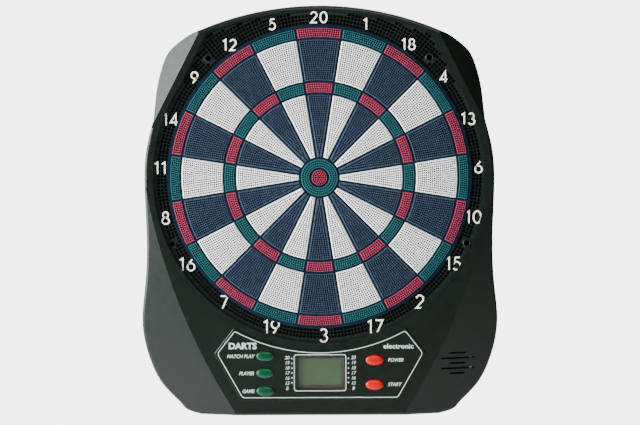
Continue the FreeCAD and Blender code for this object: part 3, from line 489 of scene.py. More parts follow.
@dataclass
class Target:
    """The moving segments of the target, with their dart holes.

    Attributes:
        front: Depth of the segments' faces.
        back: Depth of their rear faces.
        margin: From a number's border to a segment's side.
        bull_bevel: Width of the bevelled edge of the round middle segments.
        fall: Height of every bevelled edge.
        pitch: Smallest distance between dart holes along a row.
        field_margin: From a number's border to the outermost hole's cell.
        row_margin: From a flat face's inner and outer edges to the nearest row's cells.
        hole: Radius of a dart hole.
        mouth: Radius of its countersunk mouth.
        mouth_depth: Depth of the countersink.
        depth: Depth of a hole's floor, which with the bore is painted near-black as shade and as the rubber
            mat behind.
        rings: The four rings of segments, from the bull outwards.
    """

    front: float
    back: float
    margin: float = 1.35 * MM
    bull_bevel: float = 0.6 * MM
    fall: float = 1.5 * MM
    pitch: float = 2.85 * MM
    field_margin: float = 2.7 * MM
    row_margin: float = 0.15 * MM
    hole: float = 1.2 * MM
    mouth: float = 1.3 * MM
    mouth_depth: float = 0.2 * MM
    depth: float = 6.0 * MM
    rings: tuple[Ring, ...] = (
        Ring("inner_single", 27.05 * MM, 108.95 * MM, 29, 1.2 * MM),
        Ring("triple", 111.65 * MM, 124.45 * MM, 4, 0.6 * MM),
        Ring("outer_single", 127.15 * MM, 180.85 * MM, 19, 1.2 * MM),
        Ring("double", 183.55 * MM, 195.65 * MM, 4, 0.6 * MM),
    )

    def cell(self, inner: float, outer: float, margin: float, steps: int) -> list[Point]:
        """Outline of the upright number's cell between two radii.

        Args:
            inner: Inner radius.
            outer: Outer radius.
            margin: Distance kept from the number's borders.
            steps: Points along each arc.

        Returns:
            The outline's points.
        """
        outline: list[Point] = []
        for radius, way in ((inner, 1), (outer, -1)):
            half = SECTOR / 2 - math.asin(margin / radius)
            for i in range(steps + 1):
                angle = way * half * (2 * i / steps - 1)
                outline.append((radius * math.sin(angle), radius * math.cos(angle)))
        return outline

    def drill(self, shape: Shape, centres: Sequence[Point], turns: Sequence[float]) -> list[list[int]]:
        """Add the walls and floors of dart holes, their bores and floors in painted shade.

        Args:
            shape: The piece being made.
            centres: Middle of each hole.
            turns: Angle that each hole's corners start at.

        Returns:
            The vertices of each mouth.
        """
        mouths = []
        for centre, turn in zip(centres, turns):
            rim = shape.loop(circle(self.mouth, HOLE_SIDES, centre, turn), self.front)
            bore = circle(self.hole, HOLE_SIDES, centre, turn)
            throat = shape.loop(bore, self.front + self.mouth_depth)
            foot = shape.loop(bore, self.front + self.depth)
            shape.band(rim, throat)
            # the bore below the countersink and the floor take the second finish: painted shade, the floor
            # also the rubber mat behind
            shape.band(throat, foot, 1)
            shape.face(foot, 1)
            mouths.append(rim)
        return mouths

    def segment(self, ring: Ring) -> Shape:
        """Shape of one segment of the upright number.

        Args:
            ring: The ring it belongs to.

        Returns:
            The shape, its hole floors taking the second finish.
        """
        steps = max(6, round(ring.outer * SECTOR / (3 * MM)))
        shape = Shape()
        low, high = ring.inner + ring.bevel, ring.outer - ring.bevel
        flat = shape.loop(self.cell(low, high, self.margin + ring.bevel, steps), self.front)
        side = self.cell(ring.inner, ring.outer, self.margin, steps)
        edge, rear = shape.loop(side, self.front + self.fall), shape.loop(side, self.back)
        shape.band(flat, edge)
        shape.band(edge, rear)
        shape.sheet(rear, [])
        step = (high - low - 2 * self.row_margin) / ring.rows
        centres: list[Point] = []
        turns: list[float] = []
        for row in range(ring.rows):
            radius = low + self.row_margin + step * (row + 0.5)
            half = SECTOR / 2 - math.asin(self.field_margin / radius)
            count = max(1, int(2 * half * radius / self.pitch))
            for place in range(count):
                angle = half * (2 * (place + 0.5) / count - 1)
                centres.append((radius * math.sin(angle), radius * math.cos(angle)))
                turns.append(math.pi / HOLE_SIDES - angle)
        shape.sheet(flat, self.drill(shape, centres, turns))
        return shape

    def number(self, place: int, shapes: dict[str, dict[Finish, bpy.types.Object]]) -> None:
        """Set the four segments of one number.

        Args:
            place: Its place, clockwise from the top.
            shapes: The upright pieces by ring and finish.
        """
        number = NUMBERS[place]
        dark = place % 2 == 0
        for ring in self.rings:
            scoring = ring.name in ("double", "triple")
            if scoring:
                finish = SEGMENT_RED if dark else SEGMENT_GREEN
            else:
                finish = SEGMENT_NAVY if dark else SEGMENT_WHITE
            made = copy_of(shapes[ring.name][finish], f"{ring.name}_{number}", SECTOR * place)
            body = f"number_{number:02d}"
            settle(made, body, body + "_segments" if ring.name == "double" else "")
        LOG.info("number %s set", number)

    def bull(self, name: str, body: str, node: str, inner: float, outer: float,
             radii: Sequence[float], finish: Finish) -> None:
        """Make one of the two round middle segments.

        Args:
            name: Name of the piece.
            body: Body it rides on.
            node: Solid that it stands for.
            inner: Radius of its hole, or 0.
            outer: Outer radius.
            radii: Radii of its rows of dart holes.
            finish: Its finish.
        """
        shape = Shape()
        steps = 96
        flat = shape.loop(circle(outer - self.bull_bevel, steps), self.front)
        edge = shape.loop(circle(outer, steps), self.front + self.fall)
        rear = shape.loop(circle(outer, steps), self.back)
        shape.band(flat, edge)
        shape.band(edge, rear)
        gaps: list[list[int]] = []
        rear_gaps: list[list[int]] = []
        if inner > 0:
            flat_in = shape.loop(circle(inner + self.bull_bevel, steps), self.front)
            edge_in = shape.loop(circle(inner, steps), self.front + self.fall)
            rear_in = shape.loop(circle(inner, steps), self.back)
            shape.band(flat_in, edge_in)
            shape.band(edge_in, rear_in)
            gaps.append(flat_in)
            rear_gaps.append(rear_in)
        centres: list[Point] = []
        for radius in radii:
            count = max(1, round(math.tau * radius / self.pitch))
            centres.extend(circle(radius, count))
        turns = [math.atan2(z, x) + math.pi / HOLE_SIDES for x, z in centres]
        shape.sheet(flat, gaps + self.drill(shape, centres, turns))
        shape.sheet(rear, rear_gaps)
        made = shape.piece(name, (finish, PAINTED_HOLE_SHADE))
        settle(made, body, node)
        LOG.info("%s made", name)

    def build(self) -> None:
        """Make every segment of the target."""
        pairs = {True: (SEGMENT_RED, SEGMENT_GREEN), False: (SEGMENT_NAVY, SEGMENT_WHITE)}
        shapes: dict[str, dict[Finish, bpy.types.Object]] = {}
        for ring in self.rings:
            shape = self.segment(ring)
            shapes[ring.name] = {}
            for finish in pairs[ring.name in ("double", "triple")]:
                name = f"upright_{ring.name}_{finish.name}"
                shapes[ring.name][finish] = shape.piece(name, (finish, PAINTED_HOLE_SHADE))
        for place in range(len(NUMBERS)):
            self.number(place, shapes)
        for made in [o for group in shapes.values() for o in group.values()]:
            bpy.data.objects.remove(made)
        self.bull("bull_outer", "outer_bull_segment", "outer_bull", 12.95 * MM, 24.35 * MM,
                  (15.5 * MM, 18.6 * MM, 21.7 * MM), SEGMENT_GREEN)
        self.bull("bull_inner", "inner_bull_segment", "inner_bull", 0.0, 10.25 * MM,
                  (0.001 * MM, 2.75 * MM, 5.45 * MM, 8.15 * MM), SEGMENT_RED)


def bow(centre: Point, across: float, up: float, start: float, end: float) -> tuple[Point, ...]:
    """Points along part of an ellipse.

    Args:
        centre: Middle of the ellipse.
        across: Half its width.
        up: Half its height.
        start: First angle in degrees.
        end: Last angle in degrees.

    Returns:
        The points in order.
    """
    steps = max(6, round(abs(end - start) / 9))
    angles = [math.radians(start + (end - start) * i / steps) for i in range(steps + 1)]
    return tuple((centre[0] + across * math.cos(a), centre[1] + up * math.sin(a)) for a in angles)


# Width of each digit and its pen strokes, in units of the digit's height.
DIGITS: dict[str, tuple[float, tuple[tuple[Point, ...], ...]]] = {
    "0": (0.62, (bow((0.31, 0.5), 0.31, 0.5, 0, 360),)),
    "1": (0.32, (((0.0, 0.84), (0.24, 1.0), (0.24, 0.0)),)),
    "2": (0.56, ((*bow((0.28, 0.72), 0.27, 0.28, 165, -32), (0.0, 0.0), (0.58, 0.0)),)),
    "3": (0.52, (bow((0.25, 0.76), 0.22, 0.24, 150, -90), bow((0.25, 0.26), 0.27, 0.26, 90, -155))),
    "4": (0.62, (((0.47, 0.0), (0.47, 1.0), (0.0, 0.26), (0.64, 0.26)),)),
    "5": (0.54, (((0.50, 1.0), (0.14, 1.0), (0.06, 0.55), *bow((0.23, 0.33), 0.31, 0.33, 118, -142)),)),
    "6": (0.58, (bow((0.29, 0.3), 0.29, 0.3, 0, 360), ((0.44, 1.0), (0.04, 0.42)))),
    "7": (0.54, (((0.0, 1.0), (0.56, 1.0), (0.12, 0.0)),)),
    "8": (0.54, (bow((0.27, 0.76), 0.22, 0.24, 0, 360), bow((0.27, 0.26), 0.28, 0.26, 0, 360))),
    "9": (0.58, (bow((0.29, 0.7), 0.29, 0.3, 0, 360), ((0.54, 0.58), (0.14, 0.0)))),
}


class Pen:
    """Draws raised or printed lines of an even width."""

    def __init__(self, width: float, front: float, back: float) -> None:
        """Set the pen.

        Args:
            width: Width of a line.
            front: Depth of its face.
            back: Depth of its foot.
        """
        self.width = width
        self.front = front
        self.back = back
        self.shape = Shape()

    def line(self, points: Sequence[Point], closed: bool = False) -> None:
        """Draw one line.

        Args:
            points: Its middle, in order.
            closed: Whether it ends where it starts.
        """
        if closed and math.dist(points[0], points[-1]) < 1e-9:
            points = points[:-1]
        count = len(points)
        left: list[Point] = []
        right: list[Point] = []
        for i, point in enumerate(points):
            before = points[i - 1] if i or closed else point
            after = points[(i + 1) % count] if i + 1 < count or closed else point
            ahead = Vector((after[0] - point[0], after[1] - point[1]))
            behind = Vector((point[0] - before[0], point[1] - before[1]))
            if ahead.length == 0:
                ahead = behind
            if behind.length == 0:
                behind = ahead
            ahead, behind = ahead.normalized(), behind.normalized()
            side = Vector((-(ahead.y + behind.y), ahead.x + behind.x)).normalized()
            lean = max(MITRE_LIMIT, side.dot(Vector((-ahead.y, ahead.x))))
            reach = self.width / 2 / lean
            left.append((point[0] + side.x * reach, point[1] + side.y * reach))
            right.append((point[0] - side.x * reach, point[1] - side.y * reach))
        rows = [self.shape.loop(edge, y) for edge in (left, right) for y in (self.front, self.back)]
        left_front, left_back, right_front, right_back = rows
        last = count if closed else count - 1
        for i in range(last):
            j = (i + 1) % count
            self.shape.face((left_front[i], left_front[j], right_front[j], right_front[i]))
            self.shape.face((left_back[i], right_back[i], right_back[j], left_back[j]))
            self.shape.face((left_front[i], left_back[i], left_back[j], left_front[j]))
            self.shape.face((right_front[i], right_front[j], right_back[j], right_back[i]))
        if not closed:
            for i in (0, count - 1):
                self.shape.face((left_front[i], right_front[i], right_back[i], left_back[i]))

    def numeral(self, text: str, centre: Point, height: float) -> None:
        """Draw a number upright about a point.

        Args:
            text: Its digits.
            centre: Middle of the number.
            height: Height of a digit, line width included.
        """
        tall = height - self.width
        space = self.width * DIGIT_GAP
        total = sum(DIGITS[d][0] * tall for d in text) + space * (len(text) - 1)
        x = centre[0] - total / 2
        for digit in text:
            wide, strokes = DIGITS[digit]
            for stroke in strokes:
                points = [(x + px * tall, centre[1] + (pz - 0.5) * tall) for px, pz in stroke]
                shut = math.dist(points[0], points[-1]) < 1e-6
                self.line(points, shut)
            x += wide * tall + space


@dataclass
class NumberRing:
    """The recessed grille round the target and its numerals.

    Attributes:
        front: Depth of the grille's face.
        back: Depth of its rear face.
        inner: Radius of its round hole.
        outer: Radius of the case's opening.
        start: Radius where the first row of square holes begins.
        pitch: Distance between rows.
        columns: Square holes round the ring.
        rib: Width of the ribs between holes.
        rows: Most rows that are tried, the outer ones only in the corners.
        edge_room: Least plate between a square hole and the opening's edge.
        screw_room: Least distance from a screw's boss to a square hole's middle.
        overlap: How far the plate runs behind the case.
        pocket_floor: Thickness left under a square hole.
        screws: Middle of each wall-screw hole.
        screw_hole: Its radius.
        screw_boss: Radius of the solid round it.
        numeral_height: Height of a numeral level with the bull.
        numeral_growth: How much taller they get for each metre further down.
        numeral_line: Width of their lines.
        numeral_radius: Radius that the numerals stand on.
        numeral_lift: How far a numeral beside the bull stands above its sector's middle.
        numeral_drift: How far the lowest numerals stand to the right for each metre down.
        top_centre: Height of the centre of the opening's top arc.
        top_radius: Radius of that arc.
        side_start: Upper end of the case's slanted shoulder, on the right.
        side_end: Its lower end.
        side_inset: From the shoulder to the opening's slanted side.
        split: Height above which the opening is wider than its circle.
        blend: Rounding where its sides meet its top arc.
    """

    front: float
    back: float
    inner: float = 199.7 * MM
    outer: float = 218.5 * MM
    start: float = 200.2 * MM
    pitch: float = 4.5 * MM
    columns: int = 288
    rib: float = 0.9 * MM
    rows: int = 14
    edge_room: float = 0.9 * MM
    screw_room: float = 2.2 * MM
    overlap: float = 2.6 * MM
    # pocket_floor: Thickness left under a square hole, whose floor takes painted shade.
    pocket_floor: float = 0.25 * MM
    screws: tuple[Point, ...] = (
        (144.3 * MM, 156.4 * MM), (-144.3 * MM, 156.4 * MM),
        (194.1 * MM, -87.2 * MM), (-194.1 * MM, -87.2 * MM),
    )
    screw_hole: float = 3.6 * MM
    screw_boss: float = 5.4 * MM
    numeral_height: float = 17.2 * MM
    numeral_growth: float = 0.0085
    numeral_line: float = 1.85 * MM
    numeral_radius: float = 209.3 * MM
    numeral_lift: float = math.radians(3.6)
    numeral_drift: float = 0.045
    top_centre: float = -176.3 * MM
    top_radius: float = 393.5 * MM
    side_start: Point = (157.0 * MM, 189.0 * MM)
    side_end: Point = (216.6 * MM, 73.0 * MM)
    side_inset: float = 9.0 * MM
    split: float = 97.216 * MM
    blend: float = 1.2 * MM

    def reach(self, angle: float) -> float:
        """Distance from the bull to the edge of the case's opening.

        Args:
            angle: Direction, anticlockwise from the player's right.

        Returns:
            The distance.
        """
        if math.sin(angle) * self.outer < self.split:
            return self.outer
        side = Vector(self.side_end) - Vector(self.side_start)
        side.normalize()
        out = Vector((-side.y, side.x))
        gap = Vector(self.side_start).dot(out) - self.side_inset
        across, up = abs(math.cos(angle)), math.sin(angle)
        lean = across * out.x + up * out.y
        straight = gap / lean if lean > 0.01 else 1.0
        up_part = up * self.top_centre
        curved = up_part + math.sqrt(self.top_radius ** 2 - self.top_centre ** 2 + up_part ** 2)
        nearest = min(straight, curved)
        rest = sum(math.exp((nearest - way) / self.blend) for way in (straight, curved))
        return max(self.outer, nearest - self.blend * math.log(rest))

    def outline(self, grow: float) -> list[Point]:
        """Edge of the grille, a distance outside the case's opening.

        Args:
            grow: That distance.

        Returns:
            The points.
        """
        points = []
        for i in range(360):
            angle = math.radians(i)
            points.append(polar(self.reach(angle) + grow, angle))
        return points

    def squares(self) -> list[list[Point]]:
        """Find every square hole that fits in the opening.

        Returns:
            The corners of each hole.
        """
        step = math.tau / self.columns
        found: list[list[Point]] = []
        for row in range(self.rows):
            low = self.start + row * self.pitch + self.rib / 2
            high = low + self.pitch - self.rib
            half_low = step / 2 - self.rib / 2 / low
            half_high = step / 2 - self.rib / 2 / high
            for column in range(self.columns):
                middle = step * (column + 0.5)
                reach = min(self.reach(middle - half_high), self.reach(middle + half_high))
                if high + self.edge_room > reach:
                    continue
                centre = polar((low + high) / 2, middle)
                nearest = min(math.dist(centre, screw) for screw in self.screws)
                if nearest < self.screw_boss + self.screw_room:
                    continue
                found.append([
                    polar(low, middle - half_low), polar(high, middle - half_high),
                    polar(high, middle + half_high), polar(low, middle + half_low),
                ])
        return found

    def grille(self) -> bpy.types.Object:
        """Make the plate with its square pockets and screw holes.

        Returns:
            The piece.
        """
        shape = Shape()
        edge = self.outline(self.overlap)
        rim = circle(self.inner, 240)
        outer_front, outer_back = shape.loop(edge, self.front), shape.loop(edge, self.back)
        inner_front, inner_back = shape.loop(rim, self.front), shape.loop(rim, self.back)
        shape.band(outer_front, outer_back)
        shape.band(inner_front, inner_back)
        pockets: list[list[int]] = [inner_front]
        through: list[list[int]] = [inner_back]
        for corners in self.squares():
            mouth = shape.loop(corners, self.front)
            floor = shape.loop(corners, self.back - self.pocket_floor)
            shape.band(mouth, floor)
            # the pocket floor takes painted shade, darker than the plate
            shape.face(floor, 1)
            pockets.append(mouth)
        for screw in self.screws:
            hole = circle(self.screw_hole, 28, screw)
            mouth, foot = shape.loop(hole, self.front), shape.loop(hole, self.back)
            shape.band(mouth, foot)
            pockets.append(mouth)
            through.append(foot)
        shape.sheet(outer_front, pockets)
        shape.sheet(outer_back, through)
        made = shape.piece("catch_grille", (CATCH_BLACK, PAINTED_HOLE_SHADE))
        settle(made, "board", "catch_ring")
        LOG.info("catch_grille made with %s square holes", len(pockets) - 5)
        return made

    def screw_collars(self) -> None:
        """Raise a low collar round each wall-screw hole."""
        for index, screw in enumerate(self.screws):
            shape = Shape()
            levels = (
                (self.screw_boss, self.front + 0.2 * MM), (self.screw_boss, self.front - 0.7 * MM),
                (self.screw_boss - 0.5 * MM, self.front - 1.1 * MM),
                (self.screw_hole + 0.3 * MM, self.front - 1.1 * MM),
                (self.screw_hole, self.front - 0.8 * MM), (self.screw_hole, self.front + 0.2 * MM),
            )
            loops = [shape.loop(circle(r, 36, screw), y) for r, y in levels]
            for first, second in zip(loops, [*loops[1:], loops[0]]):
                shape.band(first, second)
            made = shape.piece(f"wall_screw_collar_{index + 1}", (CATCH_BLACK,))
            settle(made, "board")

    def numerals(self) -> None:
        """Set the twenty numerals upright round the ring."""
        for place, number in enumerate(NUMBERS):
            angle = SECTOR * place
            angle -= self.numeral_lift * math.sin(angle)
            centre = (self.numeral_radius * math.sin(angle), self.numeral_radius * math.cos(angle))
            height = self.numeral_height - self.numeral_growth * centre[1]
            centre = (centre[0] + self.numeral_drift * max(0.0, -centre[1] - self.inner / 2), centre[1])
            pen = Pen(self.numeral_line, self.front - 0.9 * MM, self.front + 0.1 * MM)
            pen.numeral(str(number), centre, height)
            made = pen.shape.piece(f"numeral_{number}", (NUMERAL_WHITE,))
            settle(made, "board")
        LOG.info("numerals set")

    def build(self) -> None:
        """Make the grille, its collars and the numerals."""
        self.grille()
        self.screw_collars()
        self.numerals()


@dataclass
class Panel:
    """What is printed on and set into the control panel.

    Attributes:
        face: Depth of the panel's face.
        ink: Thickness of the printing.
        arc_radius: Radius of the outline's upper arc.
        top_x: Half width at the top of the outline.
        side: Its side corner.
        foot: Its lower corner.
        window: Middle height of the display window.
        corner_steps: Short lines that make up a rounded corner.
        frame_half: Half the width and height of the display's frame.
        outline_line: Width of the panel's printed outline.
        frame_line: Width of the display's printed frame.
        letter: Letter size of the key labels.
        slant: Slant of the labels.
        tally_top: Height of the upper dots.
        tally_pitch: Distance between dots.
    """

    face: float
    ink: float = 0.09 * MM
    arc_radius: float = 231.7 * MM
    top_x: float = 112.5 * MM
    side: Point = (135.7 * MM, -232.4 * MM)
    foot: Point = (102.7 * MM, -291.4 * MM)
    window: float = -258.3 * MM
    corner_steps: int = 6
    frame_half: Point = (34.1 * MM, 24.1 * MM)
    outline_line: float = 0.95 * MM
    frame_line: float = 1.05 * MM
    letter: float = 6.6 * MM
    slant: float = 0.25
    tally_top: float = -239.2 * MM
    tally_pitch: float = 6.45 * MM

    def rounded(self, corners: Sequence[tuple[Point, float]]) -> list[Point]:
        """Points of a closed line with rounded corners.

        Args:
            corners: Each corner and its rounding.

        Returns:
            The points.
        """
        points: list[Point] = []
        count = len(corners)
        for i, (corner, radius) in enumerate(corners):
            here = Vector(corner)
            back = Vector(corners[i - 1][0]) - here
            ahead = Vector(corners[(i + 1) % count][0]) - here
            if radius <= 0:
                points.append(corner)
                continue
            half = back.angle(ahead) / 2
            reach = radius / math.tan(half)
            back.normalize()
            ahead.normalize()
            middle = here + (back + ahead).normalized() * (radius / math.sin(half))
            start = here + back * reach - middle
            sweep = math.pi - 2 * half
            turn = 1.0 if back.x * ahead.y - back.y * ahead.x < 0 else -1.0
            first = math.atan2(start.y, start.x)
            for k in range(self.corner_steps + 1):
                across, up = polar(radius, first + turn * sweep * k / self.corner_steps)
                points.append((middle.x + across, middle.y + up))
        return points

    def pen(self, width: float) -> Pen:
        """A pen that prints on the panel."""
        return Pen(width, self.face - self.ink, self.face + INK_FOOT)

    def finish(self, pen: Pen, name: str) -> None:
        """Make a printed line a piece.

        Args:
            pen: The pen that drew it.
            name: Name of the piece.
        """
        made = pen.shape.piece(name, (PANEL_PRINT,))
        settle(made, "board")
        LOG.info("%s printed", name)

    def outlines(self) -> None:
        """Print the panel's outline and the display's frame."""
        top = -math.sqrt(self.arc_radius ** 2 - self.top_x ** 2)
        half = math.asin(self.top_x / self.arc_radius)
        curve = []
        for i in range(1, 48):
            angle = half * (i / 24 - 1)
            curve.append(((self.arc_radius * math.sin(angle), -self.arc_radius * math.cos(angle)), 0.0))
        corners = [((-self.top_x, top), 3.5 * MM), *curve, ((self.top_x, top), 3.5 * MM)]
        corners += [(self.side, 6 * MM), (self.foot, 5 * MM)]
        corners += [((-self.foot[0], self.foot[1]), 5 * MM), ((-self.side[0], self.side[1]), 6 * MM)]
        pen = self.pen(self.outline_line)
        pen.line(self.rounded(corners), True)
        self.finish(pen, "panel_outline")
        pen = self.pen(self.frame_line)
        wide, tall = self.frame_half
        frame_corners = [
            ((sx * wide, self.window + sz * tall), 3 * MM)
            for sx, sz in ((-1, 1), (1, 1), (1, -1), (-1, -1))
        ]
        pen.line(self.rounded(frame_corners), True)
        self.finish(pen, "display_frame")

    def text(self, words: str, name: str, place: Point, size: float, align: str, lean: float = 0.0,
             wide: float = 1.0, bold: float = 0.0) -> None:
        """Print a word.

        Args:
            words: What it says.
            name: Name of the piece.
            place: Where its line starts, ends or has its middle.
            size: Letter size.
            align: LEFT, CENTER or RIGHT.
            lean: Slant of the letters.
            wide: Stretch across.
            bold: Thickening of the letters.
        """
        curve = bpy.data.curves.new(name, "FONT")
        curve.body = words
        curve.size = size
        curve.align_x = align
        curve.align_y = "CENTER"
        curve.shear = lean
        curve.offset = bold
        curve.resolution_u = 3
        curve.extrude = self.ink / 2 + 0.02 * MM
        temp = place_in_scene(name + "_curve", curve)
        mesh = bpy.data.meshes.new_from_object(temp)
        bpy.data.objects.remove(temp)
        mesh.transform(Matrix.Diagonal((wide, 1.0, 1.0, 1.0)))
        mesh.transform(Matrix.Rotation(math.pi / 2, 4, "X"))
        mesh.transform(Matrix.Translation((place[0], self.face - self.ink / 2, place[1])))
        mesh.name = name
        mesh.materials.clear()
        mesh.materials.append(PANEL_PRINT.material())
        settle(place_in_scene(name, mesh), "board")

    def labels(self) -> None:
        """Print the names of the keys and the titles."""
        left = (-87.4 * MM, "RIGHT", (("MATCH PLAY", -236.3), ("PLAYER", -259.1), ("GAME", -283.0)))
        right = (89.5 * MM, "LEFT", (("POWER", -241.7), ("START", -274.4)))
        for x, align, labels in (left, right):
            for words, height in labels:
                name = "label_" + words.lower().replace(" ", "_")
                self.text(words, name, (x, height * MM), self.letter, align, self.slant, 0.9, 0.1 * MM)
        self.text("DARTS", "title_left", (-121.0 * MM, -222.7 * MM), 11.5 * MM, "LEFT", 0.0, 1.05, 0.4 * MM)
        place = (123.6 * MM, -223.4 * MM)
        self.text("electronic", "title_right", place, 9.0 * MM, "RIGHT", 0.0, 1.1, 0.2 * MM)
        LOG.info("labels printed")

    def tally(self) -> None:
        """Print the rows of dots and numbers beside the display."""
        dots = Shape()
        pitch, top = self.tally_pitch, self.tally_top
        for side in (-1, 1):
            for row in range(6):
                edge = circle(0.95 * MM, 16, (side * 37.4 * MM, top - pitch * row))
                front = dots.loop(edge, self.face - self.ink)
                back = dots.loop(edge, self.face + INK_FOOT)
                dots.band(front, back)
                dots.face(front)
                dots.face(back)
        made = dots.piece("tally_dots", (PANEL_PRINT,))
        settle(made, "board")
        for side, word in ((-1, "left"), (1, "right")):
            for row, label in enumerate(("20", "19", "18", "17", "16", "15", "B")):
                place = (side * 43.8 * MM, top + 1.0 * MM - pitch * row * 1.06)
                name = f"tally_{word}_{label.lower()}"
                self.text(label, name, place, 6.2 * MM, "CENTER", self.slant, 0.95, 0.08 * MM)
        LOG.info("tally printed")

    def display(self) -> None:
        """Make the mask and the faint fields of the display."""
        low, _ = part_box("lcd_glass")
        glass = low.y
        mask = Shape()
        wide, tall, split = 27.6 * MM, 17.6 * MM, 8.6 * MM
        loops = []
        for half_x, half_z in ((34.4 * MM, 24.0 * MM), (wide, tall)):
            corners = ((1, 1), (-1, 1), (-1, -1), (1, -1))
            points = [(sx * half_x, self.window + sz * half_z) for sx, sz in corners]
            loops.append([mask.loop(points, glass - 0.12 * MM), mask.loop(points, glass - 0.01 * MM)])
        (outer_front, outer_back), (inner_front, inner_back) = loops
        mask.band(outer_front, inner_front)
        mask.band(outer_back, inner_back)
        mask.band(outer_front, outer_back)
        mask.band(inner_front, inner_back)
        made = mask.piece("display_mask", (LCD_BORDER,))
        settle(made, "board")
        pen = Pen(0.35 * MM, glass - 0.06 * MM, glass - 0.01 * MM)
        pen.line([(-wide, self.window + split), (wide, self.window + split)])
        for i in range(1, 8):
            x = wide * (i / 4 - 1)
            pen.line([(x, self.window + split), (x, self.window + tall)])
        made = pen.shape.piece("display_fields", (LCD_INK,))
        settle(made, "board")
        LOG.info("display dressed")

    def build(self) -> None:
        """Print the panel and dress the display."""
        self.outlines()
        self.labels()
        self.tally()
        self.display()


@dataclass
class Keys:
    """The five oval push buttons.

    Attributes:
        width: Across the button.
        height: Up the button.
        crown: How far the dome rises over its straight side.
        steps: Points round the oval.
        levels: Rings of the dome from its side to its top.
        squareness: Power that makes the dome fuller than a ball.
        tip: Share of the oval that the dome's flat top keeps.
        flange_grow: How far the flange stands out all round.
        flange_t: Thickness of the flange.
        finishes: Finish of each button by what it does.
    """

    width: float = 24.3 * MM
    height: float = 14.1 * MM
    crown: float = 3.4 * MM
    steps: int = 72
    levels: int = 12
    squareness: float = 0.62
    tip: float = 0.04
    flange_grow: float = 1.2 * MM
    flange_t: float = 1.6 * MM
    finishes: dict[str, Finish] = field(default_factory=lambda: {
        "match": KEY_GREEN, "player": KEY_GREEN, "game": KEY_GREEN,
        "power": KEY_RED, "start": KEY_RED,
    })

    def oval(self, centre: Point, scale: float, grow: float = 0.0) -> list[Point]:
        """Points round the oval.

        Args:
            centre: Its middle.
            scale: Share of the full size.
            grow: Extra all round.

        Returns:
            The points.
        """
        return [
            (centre[0] + (self.width / 2 * scale + grow) * math.cos(math.tau * i / self.steps),
             centre[1] + (self.height / 2 * scale + grow) * math.sin(math.tau * i / self.steps))
            for i in range(self.steps)
        ]

    def key(self, name: str, finish: Finish) -> None:
        """Make one button.

        Args:
            name: What the button does.
            finish: Its finish.
        """
        node = "button_" + name
        low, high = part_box(node)
        centre = ((low.x + high.x) / 2, (low.z + high.z) / 2)
        top, foot = low.y, high.y
        shape = Shape()
        flange = foot - self.flange_t
        loops = [
            shape.loop(self.oval(centre, 1.0, self.flange_grow), foot),
            shape.loop(self.oval(centre, 1.0, self.flange_grow), flange),
            shape.loop(self.oval(centre, 1.0), flange),
        ]
        for i in range(self.levels + 1):
            angle = math.pi / 2 * i / self.levels
            scale = self.tip if i == self.levels else math.cos(angle) ** self.squareness
            loops.append(shape.loop(self.oval(centre, scale), top + self.crown * (1 - math.sin(angle))))
        for first, second in zip(loops, loops[1:]):
            shape.band(first, second)
        shape.face(loops[0])
        shape.face(loops[-1])
        made = shape.piece("key_" + name, (finish,), smooth=True)
        made.data.set_sharp_from_angle(angle=math.radians(50))
        settle(made, name + "_key", node)
        LOG.info("key_%s made", name)

    def build(self) -> None:
        """Make the five buttons."""
        for name, finish in self.finishes.items():
            self.key(name, finish)


@dataclass
class Works:
    """The solids that keep their own shape and only take a finish."""

    record: dict
    nodes: dict[str, bpy.types.Object]

    def build(self) -> None:
        """Dress every solid by its material slot."""
        for part in self.record["subparts"]:
            made = self.nodes[part["node"]]
            finish = SLOT_FINISHES[part["material_slot"]]
            made.data.materials.clear()
            made.data.materials.append(finish.material())
            LOG.info("%s dressed in %s", part["node"], finish.name)


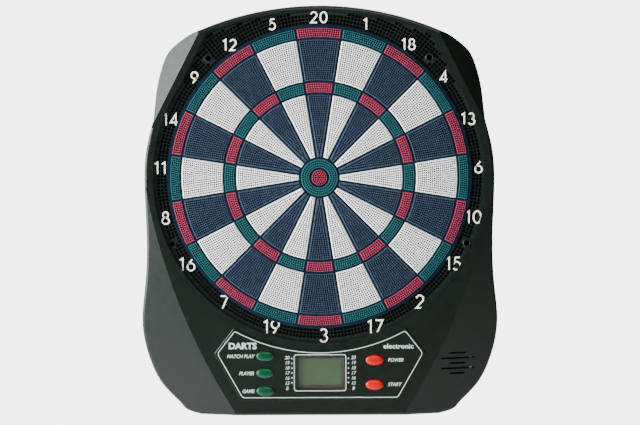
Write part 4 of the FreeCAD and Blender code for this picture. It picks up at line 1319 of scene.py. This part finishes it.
@dataclass
class Studio:
    """Floor, light and camera.

    Attributes:
        distance: From the camera to the point that it looks at.
        elevation: Camera's height angle in degrees.
        roll: Camera's roll in degrees.
        lens: Focal length in millimetres.
        aim: Point that the camera looks at.
        floor_half: Half the side of the floor.
        floor_height: Height of the floor.
        shade_radius: Radius of the dark spots behind the screw holes.
    """

    distance: float = 2.334
    elevation: float = 4.8
    roll: float = -0.2
    lens: float = 100.0
    aim: tuple[float, float, float] = (0.0006, -0.037, -0.0457)
    floor_half: float = 3.0
    floor_height: float = -1.0
    shade_radius: float = 3.4 * MM

    def floor(self) -> None:
        """Lay a plain pale floor well below the hanging board."""
        shape = Shape()
        half, z = self.floor_half, self.floor_height
        shape.points.extend(Vector((sx * half, sy * half, z)) for sx, sy in FLOOR_CORNERS)
        shape.face((0, 1, 2, 3))
        pale = Finish("floor_pale", (0.97, 0.97, 0.97), roughness=0.7, mottle=0.01)
        shape.piece("floor", (pale,))

    def wall_shade(self) -> None:
        """Lay dark spots of the wall behind the screw holes, where no light falls."""
        for index, screw in enumerate(NumberRing.screws):
            shape = Shape()
            shape.face(shape.loop(circle(self.shade_radius, 24, screw), MM))
            shape.piece(f"wall_shade_{index + 1}", (PAINTED_HOLE_SHADE,))

    def light(self, name: str, place: Sequence[float], size: float, power: float, colour: Colour,
              aim: Sequence[float] = (0.0, -0.02, -0.05)) -> None:
        """Hang a soft lamp.

        Args:
            name: Its name.
            place: Where it hangs.
            size: Side of its square face.
            power: Its power in watts.
            colour: Its colour.
            aim: Point that it faces, the board if not given.
        """
        lamp = bpy.data.lights.new(name, "AREA")
        lamp.size = size
        lamp.energy = power
        lamp.color = colour
        made = place_in_scene(name, lamp)
        made.location = place
        made.rotation_euler = (Vector(aim) - Vector(place)).to_track_quat("-Z", "Y").to_euler()

    def world(self) -> None:
        """Surround the board with a white sweep that gives only a little light of its own."""
        world = bpy.data.worlds.new("studio")
        world.use_nodes = True
        tree = world.node_tree
        glow = tree.nodes["Background"]
        glow.inputs["Color"].default_value = (0.95, 0.98, 1.0, 1.0)
        glow.inputs["Strength"].default_value = 0.07
        sweep = tree.nodes.new("ShaderNodeBackground")
        sweep.inputs["Color"].default_value = (1.0, 1.0, 1.0, 1.0)
        sweep.inputs["Strength"].default_value = 5.0
        seen = tree.nodes.new("ShaderNodeLightPath")
        either = tree.nodes.new("ShaderNodeMixShader")
        tree.links.new(seen.outputs["Is Camera Ray"], either.inputs["Fac"])
        tree.links.new(glow.outputs["Background"], either.inputs[1])
        tree.links.new(sweep.outputs["Background"], either.inputs[2])
        tree.links.new(either.outputs["Shader"], tree.nodes["World Output"].inputs["Surface"])
        bpy.context.scene.world = world

    def camera(self) -> None:
        """Set the camera a little above the board's middle, looking at it."""
        lens = bpy.data.cameras.new("camera")
        lens.lens = self.lens
        lens.sensor_width = 36.0
        lens.clip_end = 100.0
        made = place_in_scene("camera", lens)
        angle = math.radians(self.elevation)
        back = Vector((0.0, -math.cos(angle), math.sin(angle)))
        made.location = Vector(self.aim) + back * self.distance
        roll = Matrix.Rotation(math.radians(self.roll), 3, "Z")
        made.rotation_euler = ((-back).to_track_quat("-Z", "Y").to_matrix() @ roll).to_euler()
        bpy.context.scene.camera = made

    def build(self) -> None:
        """Set up the whole studio."""
        self.world()
        self.floor()
        self.wall_shade()
        self.light("left_softbox", (-2.0, -0.75, 0.25), size=2.0, power=300.0, colour=(0.93, 0.97, 1.0))
        self.light("front_fill", (0.4, -2.6, 1.6), size=1.6, power=55.0, colour=(1.0, 1.0, 1.0))
        self.light("rear_overhead", (0.0, 2.6, 2.6), size=4.0, power=420.0, colour=(1.0, 1.0, 1.0),
                   aim=(0.0, 2.6, -1.0))
        self.camera()


def main() -> None:
    """Build the looks of the whole board."""
    logging.basicConfig(level=logging.INFO, format="%(message)s")
    low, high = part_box("number_20_segments")
    Works(frame["record"], frame["nodes"]).build()
    Target(front=low.y, back=high.y).build()
    grille_low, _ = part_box("catch_ring")
    NumberRing(front=grille_low.y, back=grille_low.y + CATCH_T).build()
    housing_low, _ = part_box("front_housing")
    Panel(face=housing_low.y).build()
    Keys().build()
    Studio().build()


if __name__ == "__main__":
    main()
